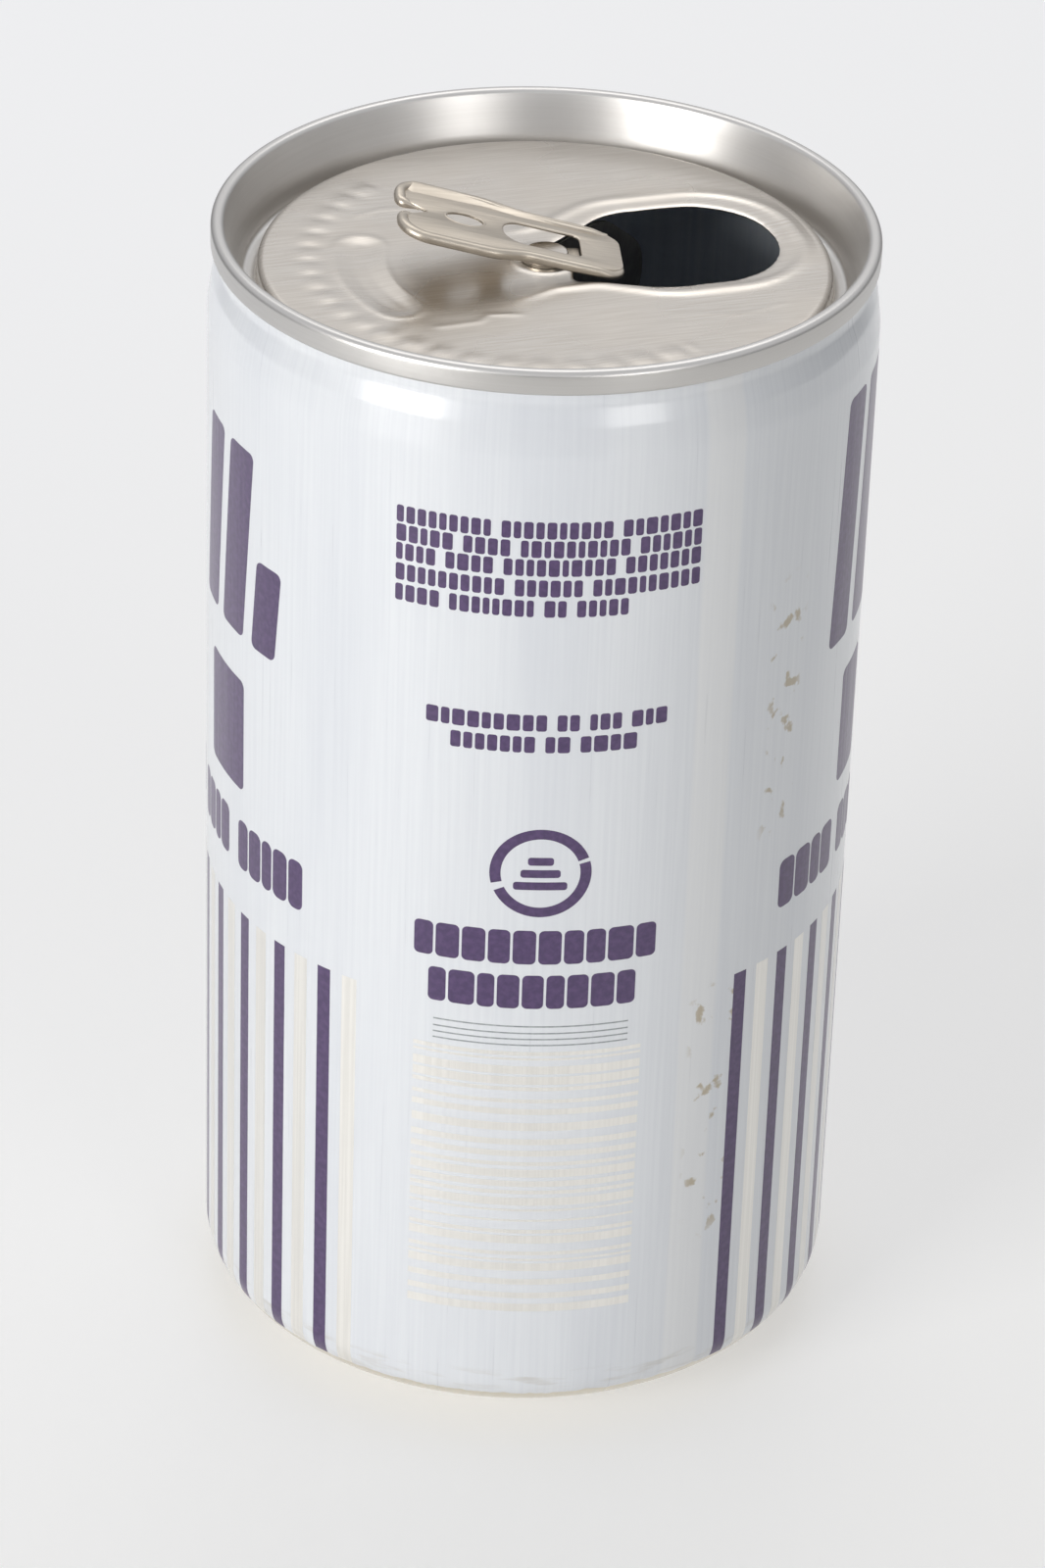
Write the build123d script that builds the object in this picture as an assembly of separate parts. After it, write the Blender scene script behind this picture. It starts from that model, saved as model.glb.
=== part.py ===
from build123d import *
import math
import os

# Opened aluminium drinks can, 330-355 ml class, with a stay-on tab.
#
# Row frame: origin at the middle of the standing ring, +Z up, +X from the rivet towards the mouth.
# Every pressed sheet is a strip of constant stock thickness that follows one face of the sheet.
# Lengths are in millimetres and angles in degrees.

# Body: drawn and ironed in one piece with its base
BODY_RADIUS = 33.05
BASE_STOCK = 0.33
WALL_STOCK = 0.16
STAND_INNER = BODY_RADIUS - 9.15
STAND_OUTER = BODY_RADIUS - 6.95
CHIME_SLOPE = 31.0
CHIME_RADIUS = 5.0
DOME_HEIGHT = 10.3
DOME_RADIUS = 48.0
DOME_SLOPE = 28.0
DOME_EDGE = STAND_INNER - 0.3
NECK_START_DEPTH = 8.8
NECK_BREAK_DEPTH = 5.8
NECK_BREAK_INSET = 0.43
NECK_END_DEPTH = 3.9

# Lid: one pressed shell, seamed to the body
END_STOCK = 0.28
SEAM_TOP = 122.2
SEAM_HEIGHT = 2.5
SEAM_RADIUS = BODY_RADIUS - 0.35
LAYER_GAP = 0.02
COUNTERSINK_DEPTH = 6.35
COUNTERSINK_WIDTH = 1.5
PANEL_RADIUS = SEAM_RADIUS - 4.6
PANEL_DEPTH = 4.0
CHUCK_BREAK_DEPTH = 2.3
FLANGE_DEPTH = 0.5
FLANGE_GAP = 0.14
COMPOUND_CLEARANCE = 0.02
COMPOUND_WIDTH = 0.20

# Mouth, torn out of the lid's panel
MOUTH_START = 1.3
MOUTH_END = 23.6
MOUTH_HALF_WIDTH = 8.75
MOUTH_NEAR_CORNER = 5.2
MOUTH_FAR_CORNER = 3.2
MOUTH_NEAR_SHOULDER = 9.8
MOUTH_FAR_SHOULDER = 8.8
MOUTH_END_RADIUS = 7.2
MOUTH_FAR_RADIUS = 7.0
MOUTH_NEAR_RADIUS = 12.0
MOUTH_CORNER_RADIUS = 1.0
RIVET_EDGE = 2.4
RIVET_EDGE_RADIUS = 6.0
BEAD_OFFSET = 0.9
BEAD_WIDTH = 1.8
BEAD_HEIGHT = 0.4
TEAR_GAP = 0.4
FLAP_ANGLE = 97.0

# Finger well behind the tab
WELL_RADIUS = 18.2
WELL_WIDTH = 4.0
WELL_HALF_ANGLE = 22.0
WELL_DEPTH = 1.2

# Rivet and the tab's riveted tongue
RIVET_SHANK = 1.55
RIVET_HEAD = 2.2
RIVET_HEAD_HEIGHT = 0.45
RUNNING_GAP = 0.05
ISLAND_RADIUS = 2.45
ISLAND_STOCK = 0.36
TONGUE_HALF_WIDTH = 1.5
HINGE_REACH = 3.3

# Pull tab: folded rim round a flat web
TAB_NOSE = 7.5
TAB_HEEL = 15.6
TAB_NOSE_HALF = 4.7
TAB_WAIST = -4.0
TAB_WAIST_HALF = 5.0
TAB_SHOULDER = -5.4
TAB_SHOULDER_HALF = 5.8
TAB_HEEL_HALF = 6.1
TAB_NOSE_RADIUS = 1.9
TAB_HEEL_RADIUS = 3.2
TAB_SIDE_RADIUS = 1.2
TAB_THICKNESS = 1.5
TAB_UNDERSIDE = 0.12
RIM_WIDTH = 1.7
RIM_ROUND = 0.6
WEB_STOCK = 0.36
WEB_RISE = 0.75
WINDOW_FRONT = 3.8
WINDOW_BACK = 4.9
WINDOW_HALF = 2.7
WINDOW_ROUND = 2.4
WINDOW_CORNER = 0.6
HOLE_BACK = 8.6
HOLE_LENGTH = 4.0
HOLE_WIDTH = 3.0
NOTCH_WIDTH = 1.3
NOTCH_DEPTH = 2.4
TAB_TILT = 14.5
TAB_SWIVEL = -13.0

# Heights that follow from the sizes above
PANEL_TOP = SEAM_TOP - PANEL_DEPTH
ISLAND_TOP = PANEL_TOP + RUNNING_GAP + ISLAND_STOCK
SEAM_BOTTOM = SEAM_TOP - SEAM_HEIGHT

# Radii of the five layers of the double seam, from outside to inside
HOOK_OUTER = SEAM_RADIUS - END_STOCK - LAYER_GAP
HOOK_INNER = HOOK_OUTER - WALL_STOCK
COVER_HOOK_INNER = HOOK_INNER - LAYER_GAP - END_STOCK
NECK_RADIUS = COVER_HOOK_INNER - LAYER_GAP
CHUCK_RADIUS = NECK_RADIUS - WALL_STOCK - LAYER_GAP - END_STOCK


def heading(start, end):
    """Unit direction from one (radius, height) point to the next."""
    length = math.dist(start, end)
    return (end[0] - start[0]) / length, (end[1] - start[1]) / length


def shifted_corner(before, corner, after, side, stock_in, stock_out):
    """Corner of the sheet's other face, where both runs are moved sideways by their own stock."""
    ax, ay = heading(before, corner)
    bx, by = heading(corner, after)
    turn = ax * by - ay * bx
    first = (corner[0] - side * stock_in * ay, corner[1] + side * stock_in * ax)
    second = (corner[0] - side * stock_out * by, corner[1] + side * stock_out * bx)
    along = ((second[0] - first[0]) * by - (second[1] - first[1]) * bx) / turn
    return (first[0] + along * ax, first[1] + along * ay), turn


def sheet_of_revolution(points, radii, stocks, side):
    """Sheet turned about Z: its path lies on one face, and side is +1 for stock on the left."""
    other = []
    other_radii = []
    for i in range(1, len(points) - 1):
        corner, turn = shifted_corner(
            points[i - 1], points[i], points[i + 1], side, stocks[i - 1], stocks[i])
        inside = 1 if turn * side > 0 else -1
        other.append(corner)
        other_radii.append(radii[i - 1] - inside * max(stocks[i - 1], stocks[i]))
    sx, sy = heading(points[0], points[1])
    ex, ey = heading(points[-2], points[-1])
    start = (points[0][0] - side * stocks[0] * sy, points[0][1] + side * stocks[0] * sx)
    end = (points[-1][0] - side * stocks[-1] * ey, points[-1][1] + side * stocks[-1] * ex)
    face_path = FilletPolyline(*points, radius=radii)
    back_path = FilletPolyline(start, *other, end, radius=other_radii)
    edges = [*face_path.edges(), *back_path.edges(), Line(points[0], start), Line(points[-1], end)]
    section = Plane.XZ * make_face(edges)
    return revolve(section, Axis.Z)


def make_can_body():
    """Domed base, standing ring, straight wall, two-step neck and the hook inside the seam."""
    rise = math.tan(math.radians(CHIME_SLOPE))
    dome_corner = DOME_EDGE - DOME_RADIUS * math.tan(math.radians(DOME_SLOPE / 2)) + 0.6
    dome_drop = (DOME_EDGE - dome_corner) * math.tan(math.radians(DOME_SLOPE))
    flange = SEAM_TOP - FLANGE_DEPTH - WALL_STOCK
    points = [
        (0, DOME_HEIGHT),
        (dome_corner, DOME_HEIGHT),
        (DOME_EDGE, DOME_HEIGHT - dome_drop),
        (STAND_INNER, 0),
        (STAND_OUTER, 0),
        (BODY_RADIUS, (BODY_RADIUS - STAND_OUTER) * rise),
        (BODY_RADIUS, SEAM_TOP - NECK_START_DEPTH),
        (BODY_RADIUS - NECK_BREAK_INSET, SEAM_TOP - NECK_BREAK_DEPTH),
        (NECK_RADIUS, SEAM_TOP - NECK_END_DEPTH),
        (NECK_RADIUS, flange),
        (HOOK_INNER, flange),
        (HOOK_INNER, SEAM_BOTTOM + END_STOCK + FLANGE_GAP),
    ]
    radii = [DOME_RADIUS, 1.0, 0.8, 2.0, CHIME_RADIUS, 6.0, 4.0, 2.5, 0.12, 0.12]
    stocks = [BASE_STOCK] * 5 + [WALL_STOCK] * 6
    return sheet_of_revolution(points, radii, stocks, side=1)


def make_lid_blank():
    """Lid before its mouth, bead and finger well: panel, groove, chuck wall and seam."""
    groove = SEAM_TOP - COUNTERSINK_DEPTH
    groove_inner = PANEL_RADIUS + 0.15
    flange = SEAM_TOP - FLANGE_DEPTH - WALL_STOCK
    points = [
        (0, PANEL_TOP),
        (PANEL_RADIUS, PANEL_TOP),
        (groove_inner, groove),
        (groove_inner + COUNTERSINK_WIDTH, groove),
        (CHUCK_RADIUS, SEAM_TOP - CHUCK_BREAK_DEPTH),
        (CHUCK_RADIUS, SEAM_TOP),
        (SEAM_RADIUS, SEAM_TOP),
        (SEAM_RADIUS, SEAM_BOTTOM),
        (COVER_HOOK_INNER, SEAM_BOTTOM),
        (COVER_HOOK_INNER, flange - FLANGE_GAP),
    ]
    radii = [0.8, 0.7, 0.7, 1.5, 0.6, 0.6, 0.36, 0.36]
    return sheet_of_revolution(points, radii, [END_STOCK] * 9, side=-1)


def mouth_corners():
    """Corners of the mouth's outline with their rounding, from the near rivet-side corner round."""
    return [
        ((MOUTH_START, -MOUTH_NEAR_CORNER), MOUTH_CORNER_RADIUS),
        ((MOUTH_NEAR_SHOULDER, -MOUTH_HALF_WIDTH), MOUTH_NEAR_RADIUS),
        ((MOUTH_END, -MOUTH_HALF_WIDTH), MOUTH_END_RADIUS),
        ((MOUTH_END, MOUTH_HALF_WIDTH), MOUTH_END_RADIUS),
        ((MOUTH_FAR_SHOULDER, MOUTH_HALF_WIDTH), MOUTH_FAR_RADIUS),
        ((MOUTH_START, MOUTH_FAR_CORNER), MOUTH_CORNER_RADIUS),
        ((RIVET_EDGE, 0), RIVET_EDGE_RADIUS),
    ]


def mouth_face():
    """The mouth's outline as a flat face at height zero."""
    corners = mouth_corners()
    points = [point for point, _ in corners]
    radii = [radius for _, radius in corners]
    return make_face(FilletPolyline(*points, radius=radii, close=True).edges())


def flap_hinge():
    """Foot and direction of the straight stretch that was never torn, as plan (x, y) pairs."""
    far = (MOUTH_FAR_SHOULDER, MOUTH_HALF_WIDTH)
    near = (MOUTH_START, MOUTH_FAR_CORNER)
    return near, heading(near, far)


def slab(face, bottom, top):
    """Flat face made solid between two heights."""
    return extrude(Pos(0, 0, bottom) * face, top - bottom, dir=(0, 0, 1))


def finger_well_face(width):
    """Kidney outline of the finger well, of the given width, round the lid's centre."""
    centre_line = CenterArc((0, 0), WELL_RADIUS, 180 - WELL_HALF_ANGLE, 2 * WELL_HALF_ANGLE)
    return SlotArc(centre_line, width)


def make_end_shell():
    """Lid with its torn mouth, the raised bead round it and the finger well."""
    lid = make_lid_blank()
    mouth = mouth_face()
    bead = offset(mouth, BEAD_OFFSET + BEAD_WIDTH) - offset(mouth, BEAD_OFFSET)
    groove = (offset(mouth, BEAD_OFFSET + BEAD_WIDTH - END_STOCK)
              - offset(mouth, BEAD_OFFSET + END_STOCK))
    under = PANEL_TOP - END_STOCK
    tab_reach = math.hypot(TAB_NOSE, TAB_NOSE_HALF) + RUNNING_GAP
    keep_clear = slab(Circle(tab_reach), under - 1, PANEL_TOP + 1)
    keep_solid = slab(Circle(tab_reach + END_STOCK), under - 1, PANEL_TOP + 1)
    lid += slab(bead, PANEL_TOP - END_STOCK / 2, PANEL_TOP + BEAD_HEIGHT) - keep_clear
    lid -= slab(groove, under - 1, PANEL_TOP + BEAD_HEIGHT - END_STOCK) - keep_solid
    lid -= slab(mouth, under - 1, PANEL_TOP + 1)
    well = finger_well_face(WELL_WIDTH + 2 * END_STOCK)
    lid += slab(well, PANEL_TOP - WELL_DEPTH - END_STOCK, PANEL_TOP - END_STOCK / 2)
    lid -= slab(finger_well_face(WELL_WIDTH), PANEL_TOP - WELL_DEPTH, PANEL_TOP + 1)
    return lid


def make_pour_panel():
    """Torn panel, built flat in the mouth and then bent down about its untorn stretch."""
    foot, along = flap_hinge()
    mid_height = PANEL_TOP - END_STOCK / 2
    flap = slab(offset(mouth_face(), -TEAR_GAP), PANEL_TOP - END_STOCK, PANEL_TOP)
    pivot = Axis((foot[0], foot[1], mid_height), (along[0], along[1], 0))
    return flap.rotate(pivot, FLAP_ANGLE)


def make_sealing_compound():
    """Ring of sealing compound between the body's flange and the top of the lid's curl."""
    top = SEAM_TOP - END_STOCK - COMPOUND_CLEARANCE
    bottom = SEAM_TOP - FLANGE_DEPTH + COMPOUND_CLEARANCE
    middle = (NECK_RADIUS - WALL_STOCK + HOOK_OUTER) / 2
    section = Plane.XZ * Pos(middle, (top + bottom) / 2) * Rectangle(COMPOUND_WIDTH, top - bottom)
    return revolve(section, Axis.Z)


def make_rivet():
    """Rivet button: shank through the tab's tongue and a flattened head on top of it."""
    head_bottom = ISLAND_TOP + RUNNING_GAP
    head_top = head_bottom + RIVET_HEAD_HEIGHT
    shank = slab(Circle(RIVET_SHANK), PANEL_TOP, head_top)
    head = slab(Circle(RIVET_HEAD), head_bottom, head_top)
    head = fillet(head.edges().group_by(Axis.Z)[-1], RIVET_HEAD_HEIGHT * 0.6)
    return shank + head


def make_tab_island():
    """Riveted tongue of the tab: a disc round the rivet and a short strip to the bend line."""
    disc = Circle(ISLAND_RADIUS)
    strip = Pos(HINGE_REACH / 2, 0) * Rectangle(HINGE_REACH, 2 * TONGUE_HALF_WIDTH)
    face = disc + strip - Circle(RIVET_SHANK + RUNNING_GAP)
    island = slab(face, ISLAND_TOP - ISLAND_STOCK, ISLAND_TOP)
    return Rot(0, 0, TAB_SWIVEL) * island


def tab_outline(inset):
    """Plan of the tab, slightly wider at its heel, moved inwards by an inset."""
    nose_round = max(TAB_NOSE_RADIUS - inset, 0.5)
    heel_round = max(TAB_HEEL_RADIUS - inset, 0.5)
    far_side = [
        ((TAB_NOSE - inset, TAB_NOSE_HALF - inset), nose_round),
        ((TAB_WAIST, TAB_WAIST_HALF - inset), TAB_SIDE_RADIUS),
        ((TAB_SHOULDER, TAB_SHOULDER_HALF - inset), TAB_SIDE_RADIUS),
        ((inset - TAB_HEEL, TAB_HEEL_HALF - inset), heel_round),
    ]
    near_side = [((along, -across), radius) for (along, across), radius in reversed(far_side)]
    corners = far_side + near_side
    points = [point for point, _ in corners]
    radii = [radius for _, radius in corners]
    return make_face(FilletPolyline(*points, radius=radii, close=True).edges())


def tab_window():
    """Opening round the rivet, rounded at its heel end."""
    length = WINDOW_FRONT + WINDOW_BACK
    middle = (WINDOW_FRONT - WINDOW_BACK) / 2
    window = Pos(middle, 0) * Rectangle(length, 2 * WINDOW_HALF)
    window = fillet(window.vertices().group_by(Axis.X)[0], WINDOW_ROUND)
    return fillet(window.vertices().group_by(Axis.X)[-1], WINDOW_CORNER)


def make_pull_tab():
    """Rim and web of the tab, built flat and then lifted at the heel and swivelled."""
    bottom = PANEL_TOP + TAB_UNDERSIDE
    top = bottom + TAB_THICKNESS
    rim = slab(tab_outline(0), bottom, top)
    rim = fillet(rim.edges().group_by(Axis.Z)[-1] + rim.edges().group_by(Axis.Z)[0], RIM_ROUND)
    rim -= slab(tab_outline(RIM_WIDTH), bottom - 1, top + 1)
    web_top = ISLAND_TOP + WEB_RISE
    web = slab(tab_outline(RIM_WIDTH / 2), web_top - WEB_STOCK, web_top)
    tab = rim + web
    tab -= slab(tab_window(), bottom - 1, top + 1)
    hole = Pos(-HOLE_BACK, 0) * SlotOverall(HOLE_LENGTH, HOLE_WIDTH)
    tab -= slab(hole, bottom - 1, top + 1)
    notch = Pos(-TAB_HEEL, 0) * SlotOverall(2 * NOTCH_DEPTH, NOTCH_WIDTH)
    tab -= slab(notch, bottom - 1, top + 1)
    bend = Axis((HINGE_REACH, 0, ISLAND_TOP - ISLAND_STOCK / 2), (0, 1, 0))
    return Rot(0, 0, TAB_SWIVEL) * tab.rotate(bend, TAB_TILT)


def main():
    """Build each piece and write it to its own file."""
    os.makedirs("parts", exist_ok=True)
    pieces = {
        "can_body": make_can_body(),
        "end_shell": make_end_shell(),
        "sealing_compound": make_sealing_compound(),
        "rivet": make_rivet(),
        "tab_island": make_tab_island(),
        "pull_tab": make_pull_tab(),
        "pour_panel": make_pour_panel(),
    }
    for name, piece in pieces.items():
        export_step(piece, f"parts/{name}.step")


main()
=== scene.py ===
import logging
import math
from collections.abc import Callable
from dataclasses import dataclass, field
from enum import Enum
from functools import partial

import bmesh
import bpy
import numpy as np
from mathutils import Matrix, Vector


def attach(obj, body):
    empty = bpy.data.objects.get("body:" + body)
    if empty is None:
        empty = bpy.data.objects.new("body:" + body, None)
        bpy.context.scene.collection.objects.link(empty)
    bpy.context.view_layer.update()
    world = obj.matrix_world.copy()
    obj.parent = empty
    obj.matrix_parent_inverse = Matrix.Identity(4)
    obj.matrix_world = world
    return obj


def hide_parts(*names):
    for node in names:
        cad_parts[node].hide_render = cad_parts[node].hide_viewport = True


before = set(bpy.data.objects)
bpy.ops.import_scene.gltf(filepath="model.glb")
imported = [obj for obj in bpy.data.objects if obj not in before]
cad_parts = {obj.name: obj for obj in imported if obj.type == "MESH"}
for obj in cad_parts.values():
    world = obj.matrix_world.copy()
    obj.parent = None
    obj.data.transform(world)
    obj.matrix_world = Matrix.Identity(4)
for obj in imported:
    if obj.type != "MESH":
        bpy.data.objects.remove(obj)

LOG = logging.getLogger("drinks_can")
MM = 0.001
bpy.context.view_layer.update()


class Body(Enum):
    """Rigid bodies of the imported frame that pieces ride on."""

    CAN = "can"
    TONGUE = "tab_tongue"
    TAB = "tab"
    FLAP = "flap"


class Slot(Enum):
    """Material slots of the record."""

    PRINTED = "printed_aluminium"
    LID = "lid_aluminium"
    TAB = "tab_aluminium"
    COMPOUND = "sealing_compound"


# ---------------------------------------------------------------- small maths helpers


def smooth_step(low: float, high: float, value: np.ndarray) -> np.ndarray:
    """Smooth ramp from 0 at low to 1 at high.

    Args:
        low: value where the ramp starts.
        high: value where it ends.
        value: array to map.

    Returns:
        t * t * (3 - 2 t), with t the clamped fraction of the way.
    """
    t = np.clip((value - low) / (high - low), 0.0, 1.0)
    return t * t * (3.0 - 2.0 * t)


def rounded_path(corners: np.ndarray, radii: list[float], steps: int = 10,
                 closed: bool = False) -> np.ndarray:
    """Polyline whose corners are replaced by tangent arcs.

    At a corner with turn angle a and radius r the arc starts r tan(a / 2) before the corner and
    ends as far after it; its points are start + r (sin(s) d + (1 - cos(s)) n), where d is the
    direction of arrival, n the normal towards the turn and s runs from 0 to a.

    Args:
        corners: (n, 2) corner points.
        radii: one radius per rounded corner: all of them if closed, else all but the two ends.
        steps: points per arc.
        closed: whether the path returns to its start.

    Returns:
        (m, 2) points of the rounded path, without a repeated end point.
    """
    pts = np.asarray(corners, float)
    if closed:
        pts = np.vstack([pts[-1], pts, pts[0]])
    pieces = [] if closed else [pts[:1]]
    for before, corner, after, radius in zip(pts[:-2], pts[1:-1], pts[2:], radii):
        arrive = (corner - before) / np.linalg.norm(corner - before)
        leave = (after - corner) / np.linalg.norm(after - corner)
        cross = arrive[0] * leave[1] - arrive[1] * leave[0]
        turn = math.atan2(abs(cross), float(arrive @ leave))
        side = math.copysign(1.0, cross)
        normal = side * np.array([-arrive[1], arrive[0]])
        start = corner - arrive * radius * math.tan(turn / 2)
        s = np.linspace(0.0, turn, steps)[:, None]
        pieces.append(start + radius * (np.sin(s) * arrive + (1.0 - np.cos(s)) * normal))
    if not closed:
        pieces.append(pts[-1:])
    return np.vstack(pieces)


def resampled(path: np.ndarray, spacing: float, closed: bool = False) -> np.ndarray:
    """Path with its points moved to even steps of arc length.

    Args:
        path: (n, k) points.
        spacing: wanted distance between points.
        closed: whether the path returns to its start.

    Returns:
        (m, k) points; a closed path doesn't repeat its start.
    """
    pts = np.vstack([path, path[:1]]) if closed else np.asarray(path, float)
    run = np.concatenate([[0.0], np.cumsum(np.linalg.norm(np.diff(pts, axis=0), axis=1))])
    count = max(int(round(run[-1] / spacing)), 8)
    at = np.linspace(0.0, run[-1], count + 1)
    out = np.stack([np.interp(at, run, pts[:, k]) for k in range(pts.shape[1])], axis=1)
    return out[:-1] if closed else out


def thinned_runs(path: np.ndarray, longest: float) -> np.ndarray:
    """Path with extra points on its straight runs, so that no step is longer than a limit.

    Args:
        path: (n, 2) points.
        longest: largest step allowed.

    Returns:
        (m, 2) points that keep every given point.
    """
    steps = np.linalg.norm(np.diff(path, axis=0), axis=1)
    parts = [
        a + (b - a) * np.arange(n)[:, None] / n
        for a, b, n in zip(path[:-1], path[1:], np.maximum(np.ceil(steps / longest), 1).astype(int))
    ]
    return np.vstack([*parts, path[-1:]])


def segment_distance(points: np.ndarray, path: np.ndarray) -> tuple[np.ndarray, np.ndarray]:
    """Distance from points to an open polyline, and how far along it the nearest point lies.

    For each segment a to b, s = clamp((p - a).(b - a) / |b - a|^2) and d = |p - a - s (b - a)|.

    Args:
        points: (n, 2) points.
        path: (m, 2) polyline.

    Returns:
        (n,) distances and (n,) fractions 0 to 1 along the path.
    """
    starts, runs = path[:-1], np.diff(path, axis=0)
    lengths = np.maximum((runs ** 2).sum(1), 1e-12)
    best = np.full(len(points), 1e9)
    where = np.zeros(len(points))
    total = len(runs)
    for i in range(total):
        rel = points - starts[i]
        s = np.clip(rel @ runs[i] / lengths[i], 0.0, 1.0)
        d = np.hypot(rel[:, 0] - s * runs[i, 0], rel[:, 1] - s * runs[i, 1])
        near = d < best
        best[near] = d[near]
        where[near] = (i + s[near]) / total
    return best, where


def waves(x: np.ndarray, y: np.ndarray, pitch: float, seed: int) -> np.ndarray:
    """Sum of six sine waves in seeded directions, for slow unevenness of pressed sheet.

    Args:
        x: first coordinate.
        y: second coordinate.
        pitch: typical wave length, in the coordinates' unit.
        seed: chooses directions and phases.

    Returns:
        Array of about -1 to 1.
    """
    rng = np.random.default_rng(seed)
    turn = rng.uniform(0, 2 * math.pi, 6)
    phase = rng.uniform(0, 2 * math.pi, 6)
    scale = 2 * math.pi / (pitch * rng.uniform(0.7, 1.6, 6))
    out = sum(np.sin(k * (x * math.cos(a) + y * math.sin(a)) + p)
              for a, p, k in zip(turn, phase, scale))
    return out / 3.0


# ---------------------------------------------------------------- meshes from grids


def grid_faces(rows: int, cols: int, wrap_rows: bool, wrap_cols: bool) -> np.ndarray:
    """Quads of a grid of points.

    Args:
        rows: number of rows.
        cols: number of columns.
        wrap_rows: join the last row to the first.
        wrap_cols: join the last column to the first.

    Returns:
        (q, 4) vertex numbers, with vertex (i, j) numbered i * cols + j.
    """
    i = np.arange(rows if wrap_rows else rows - 1)
    j = np.arange(cols if wrap_cols else cols - 1)
    i, j = [a.ravel() for a in np.meshgrid(i, j, indexing="ij")]
    i2, j2 = (i + 1) % rows, (j + 1) % cols
    return np.stack([i * cols + j, i * cols + j2, i2 * cols + j2, i2 * cols + j], axis=1)


def signed_volume(points: np.ndarray, quads: np.ndarray) -> float:
    """Volume under the quads by the divergence theorem, positive if they face outwards.

    Args:
        points: (n, 3) points.
        quads: (q, 4) vertex numbers.

    Returns:
        A sixth of the sum of a . (b x c) + a . (c x d) over the quads a, b, c, d.
    """
    a, b, c, d = [points[quads[:, k]] for k in range(4)]
    first = np.einsum("ij,ij->i", a, np.cross(b, c))
    second = np.einsum("ij,ij->i", a, np.cross(c, d))
    return float((first + second).sum() / 6.0)


def mesh_object(name: str, points: np.ndarray, quads: np.ndarray, sharp_deg: float = 40.0,
                merge: bool = False) -> bpy.types.Object:
    """Object at the origin from points in millimetres and quads.

    Args:
        name: object name.
        points: (n, 3) points in millimetres.
        quads: (q, 4) vertex numbers.
        sharp_deg: edges that turn more than this are shaded sharp.
        merge: merge points that fall together, as at a pole.

    Returns:
        The linked object.
    """
    mesh = bpy.data.meshes.new(name)
    mesh.vertices.add(len(points))
    mesh.vertices.foreach_set("co", (np.asarray(points, float) * MM).astype(np.float32).ravel())
    mesh.loops.add(4 * len(quads))
    mesh.loops.foreach_set("vertex_index", quads.astype(np.int32).ravel())
    mesh.polygons.add(len(quads))
    mesh.polygons.foreach_set("loop_start", np.arange(0, 4 * len(quads), 4, dtype=np.int32))
    mesh.polygons.foreach_set("use_smooth", np.ones(len(quads), bool))
    mesh.update(calc_edges=True)
    if merge:
        bm = bmesh.new()
        bm.from_mesh(mesh)
        bmesh.ops.remove_doubles(bm, verts=bm.verts, dist=1e-7)
        bm.to_mesh(mesh)
        bm.free()
    mesh.validate()
    mesh.set_sharp_from_angle(angle=math.radians(sharp_deg))
    obj = bpy.data.objects.new(name, mesh)
    bpy.context.scene.collection.objects.link(obj)
    return obj


def closed_grid_object(name: str, grid: np.ndarray, wrap_rows: bool, wrap_cols: bool,
                       sharp_deg: float = 40.0, merge: bool = False) -> bpy.types.Object:
    """Object from a closed grid of points, turned to face outwards.

    Args:
        name: object name.
        grid: (rows, cols, 3) points in millimetres.
        wrap_rows: join the last row to the first.
        wrap_cols: join the last column to the first.
        sharp_deg: edges that turn more than this are shaded sharp.
        merge: merge points that fall together.

    Returns:
        The linked object.
    """
    rows, cols = grid.shape[:2]
    points = grid.reshape(-1, 3)
    quads = grid_faces(rows, cols, wrap_rows, wrap_cols)
    if signed_volume(points - points.mean(0), quads) < 0:
        quads = quads[:, ::-1]
    return mesh_object(name, points, quads, sharp_deg, merge)


def revolved(profile: np.ndarray, cols: int) -> np.ndarray:
    """Profile turned about Z: (r cos a, r sin a, z) on a grid.

    Args:
        profile: (n, 2) points of radius and height.
        cols: columns round the axis.

    Returns:
        (n, cols, 3) grid.
    """
    a = np.arange(cols) * 2 * math.pi / cols
    r, z = profile[:, :1], profile[:, 1:]
    return np.stack([r * np.cos(a), r * np.sin(a), z + 0 * a], axis=2)


def tube_grid(path: np.ndarray, wide: np.ndarray, high: np.ndarray, lift: np.ndarray,
              closed: bool, around: int = 20, power: float = 0.8) -> np.ndarray:
    """Rounded-box section carried along a plan path.

    The section is (w |cos s|^p sign, h |sin s|^p sign), set square to the path, with its middle at
    the path's point and the given height.

    Args:
        path: (n, 2) plan points.
        wide: (n,) half widths.
        high: (n,) half heights.
        lift: (n,) heights of the section's middle.
        closed: whether the path returns to its start.
        around: points round the section.
        power: 1 for an ellipse, less for a squarer section.

    Returns:
        (n, around, 3) grid.
    """
    if closed:
        run = np.roll(path, -1, axis=0) - np.roll(path, 1, axis=0)
    else:
        run = np.gradient(path, axis=0)
    run /= np.linalg.norm(run, axis=1)[:, None]
    normal = np.stack([run[:, 1], -run[:, 0]], axis=1)
    s = np.arange(around) * 2 * math.pi / around
    across = np.sign(np.cos(s)) * np.abs(np.cos(s)) ** power
    up = np.sign(np.sin(s)) * np.abs(np.sin(s)) ** power
    xy = path[:, None] + normal[:, None] * (wide[:, None] * across)[..., None]
    z = lift[:, None] + high[:, None] * up
    return np.concatenate([xy, z[..., None]], axis=2)


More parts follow.
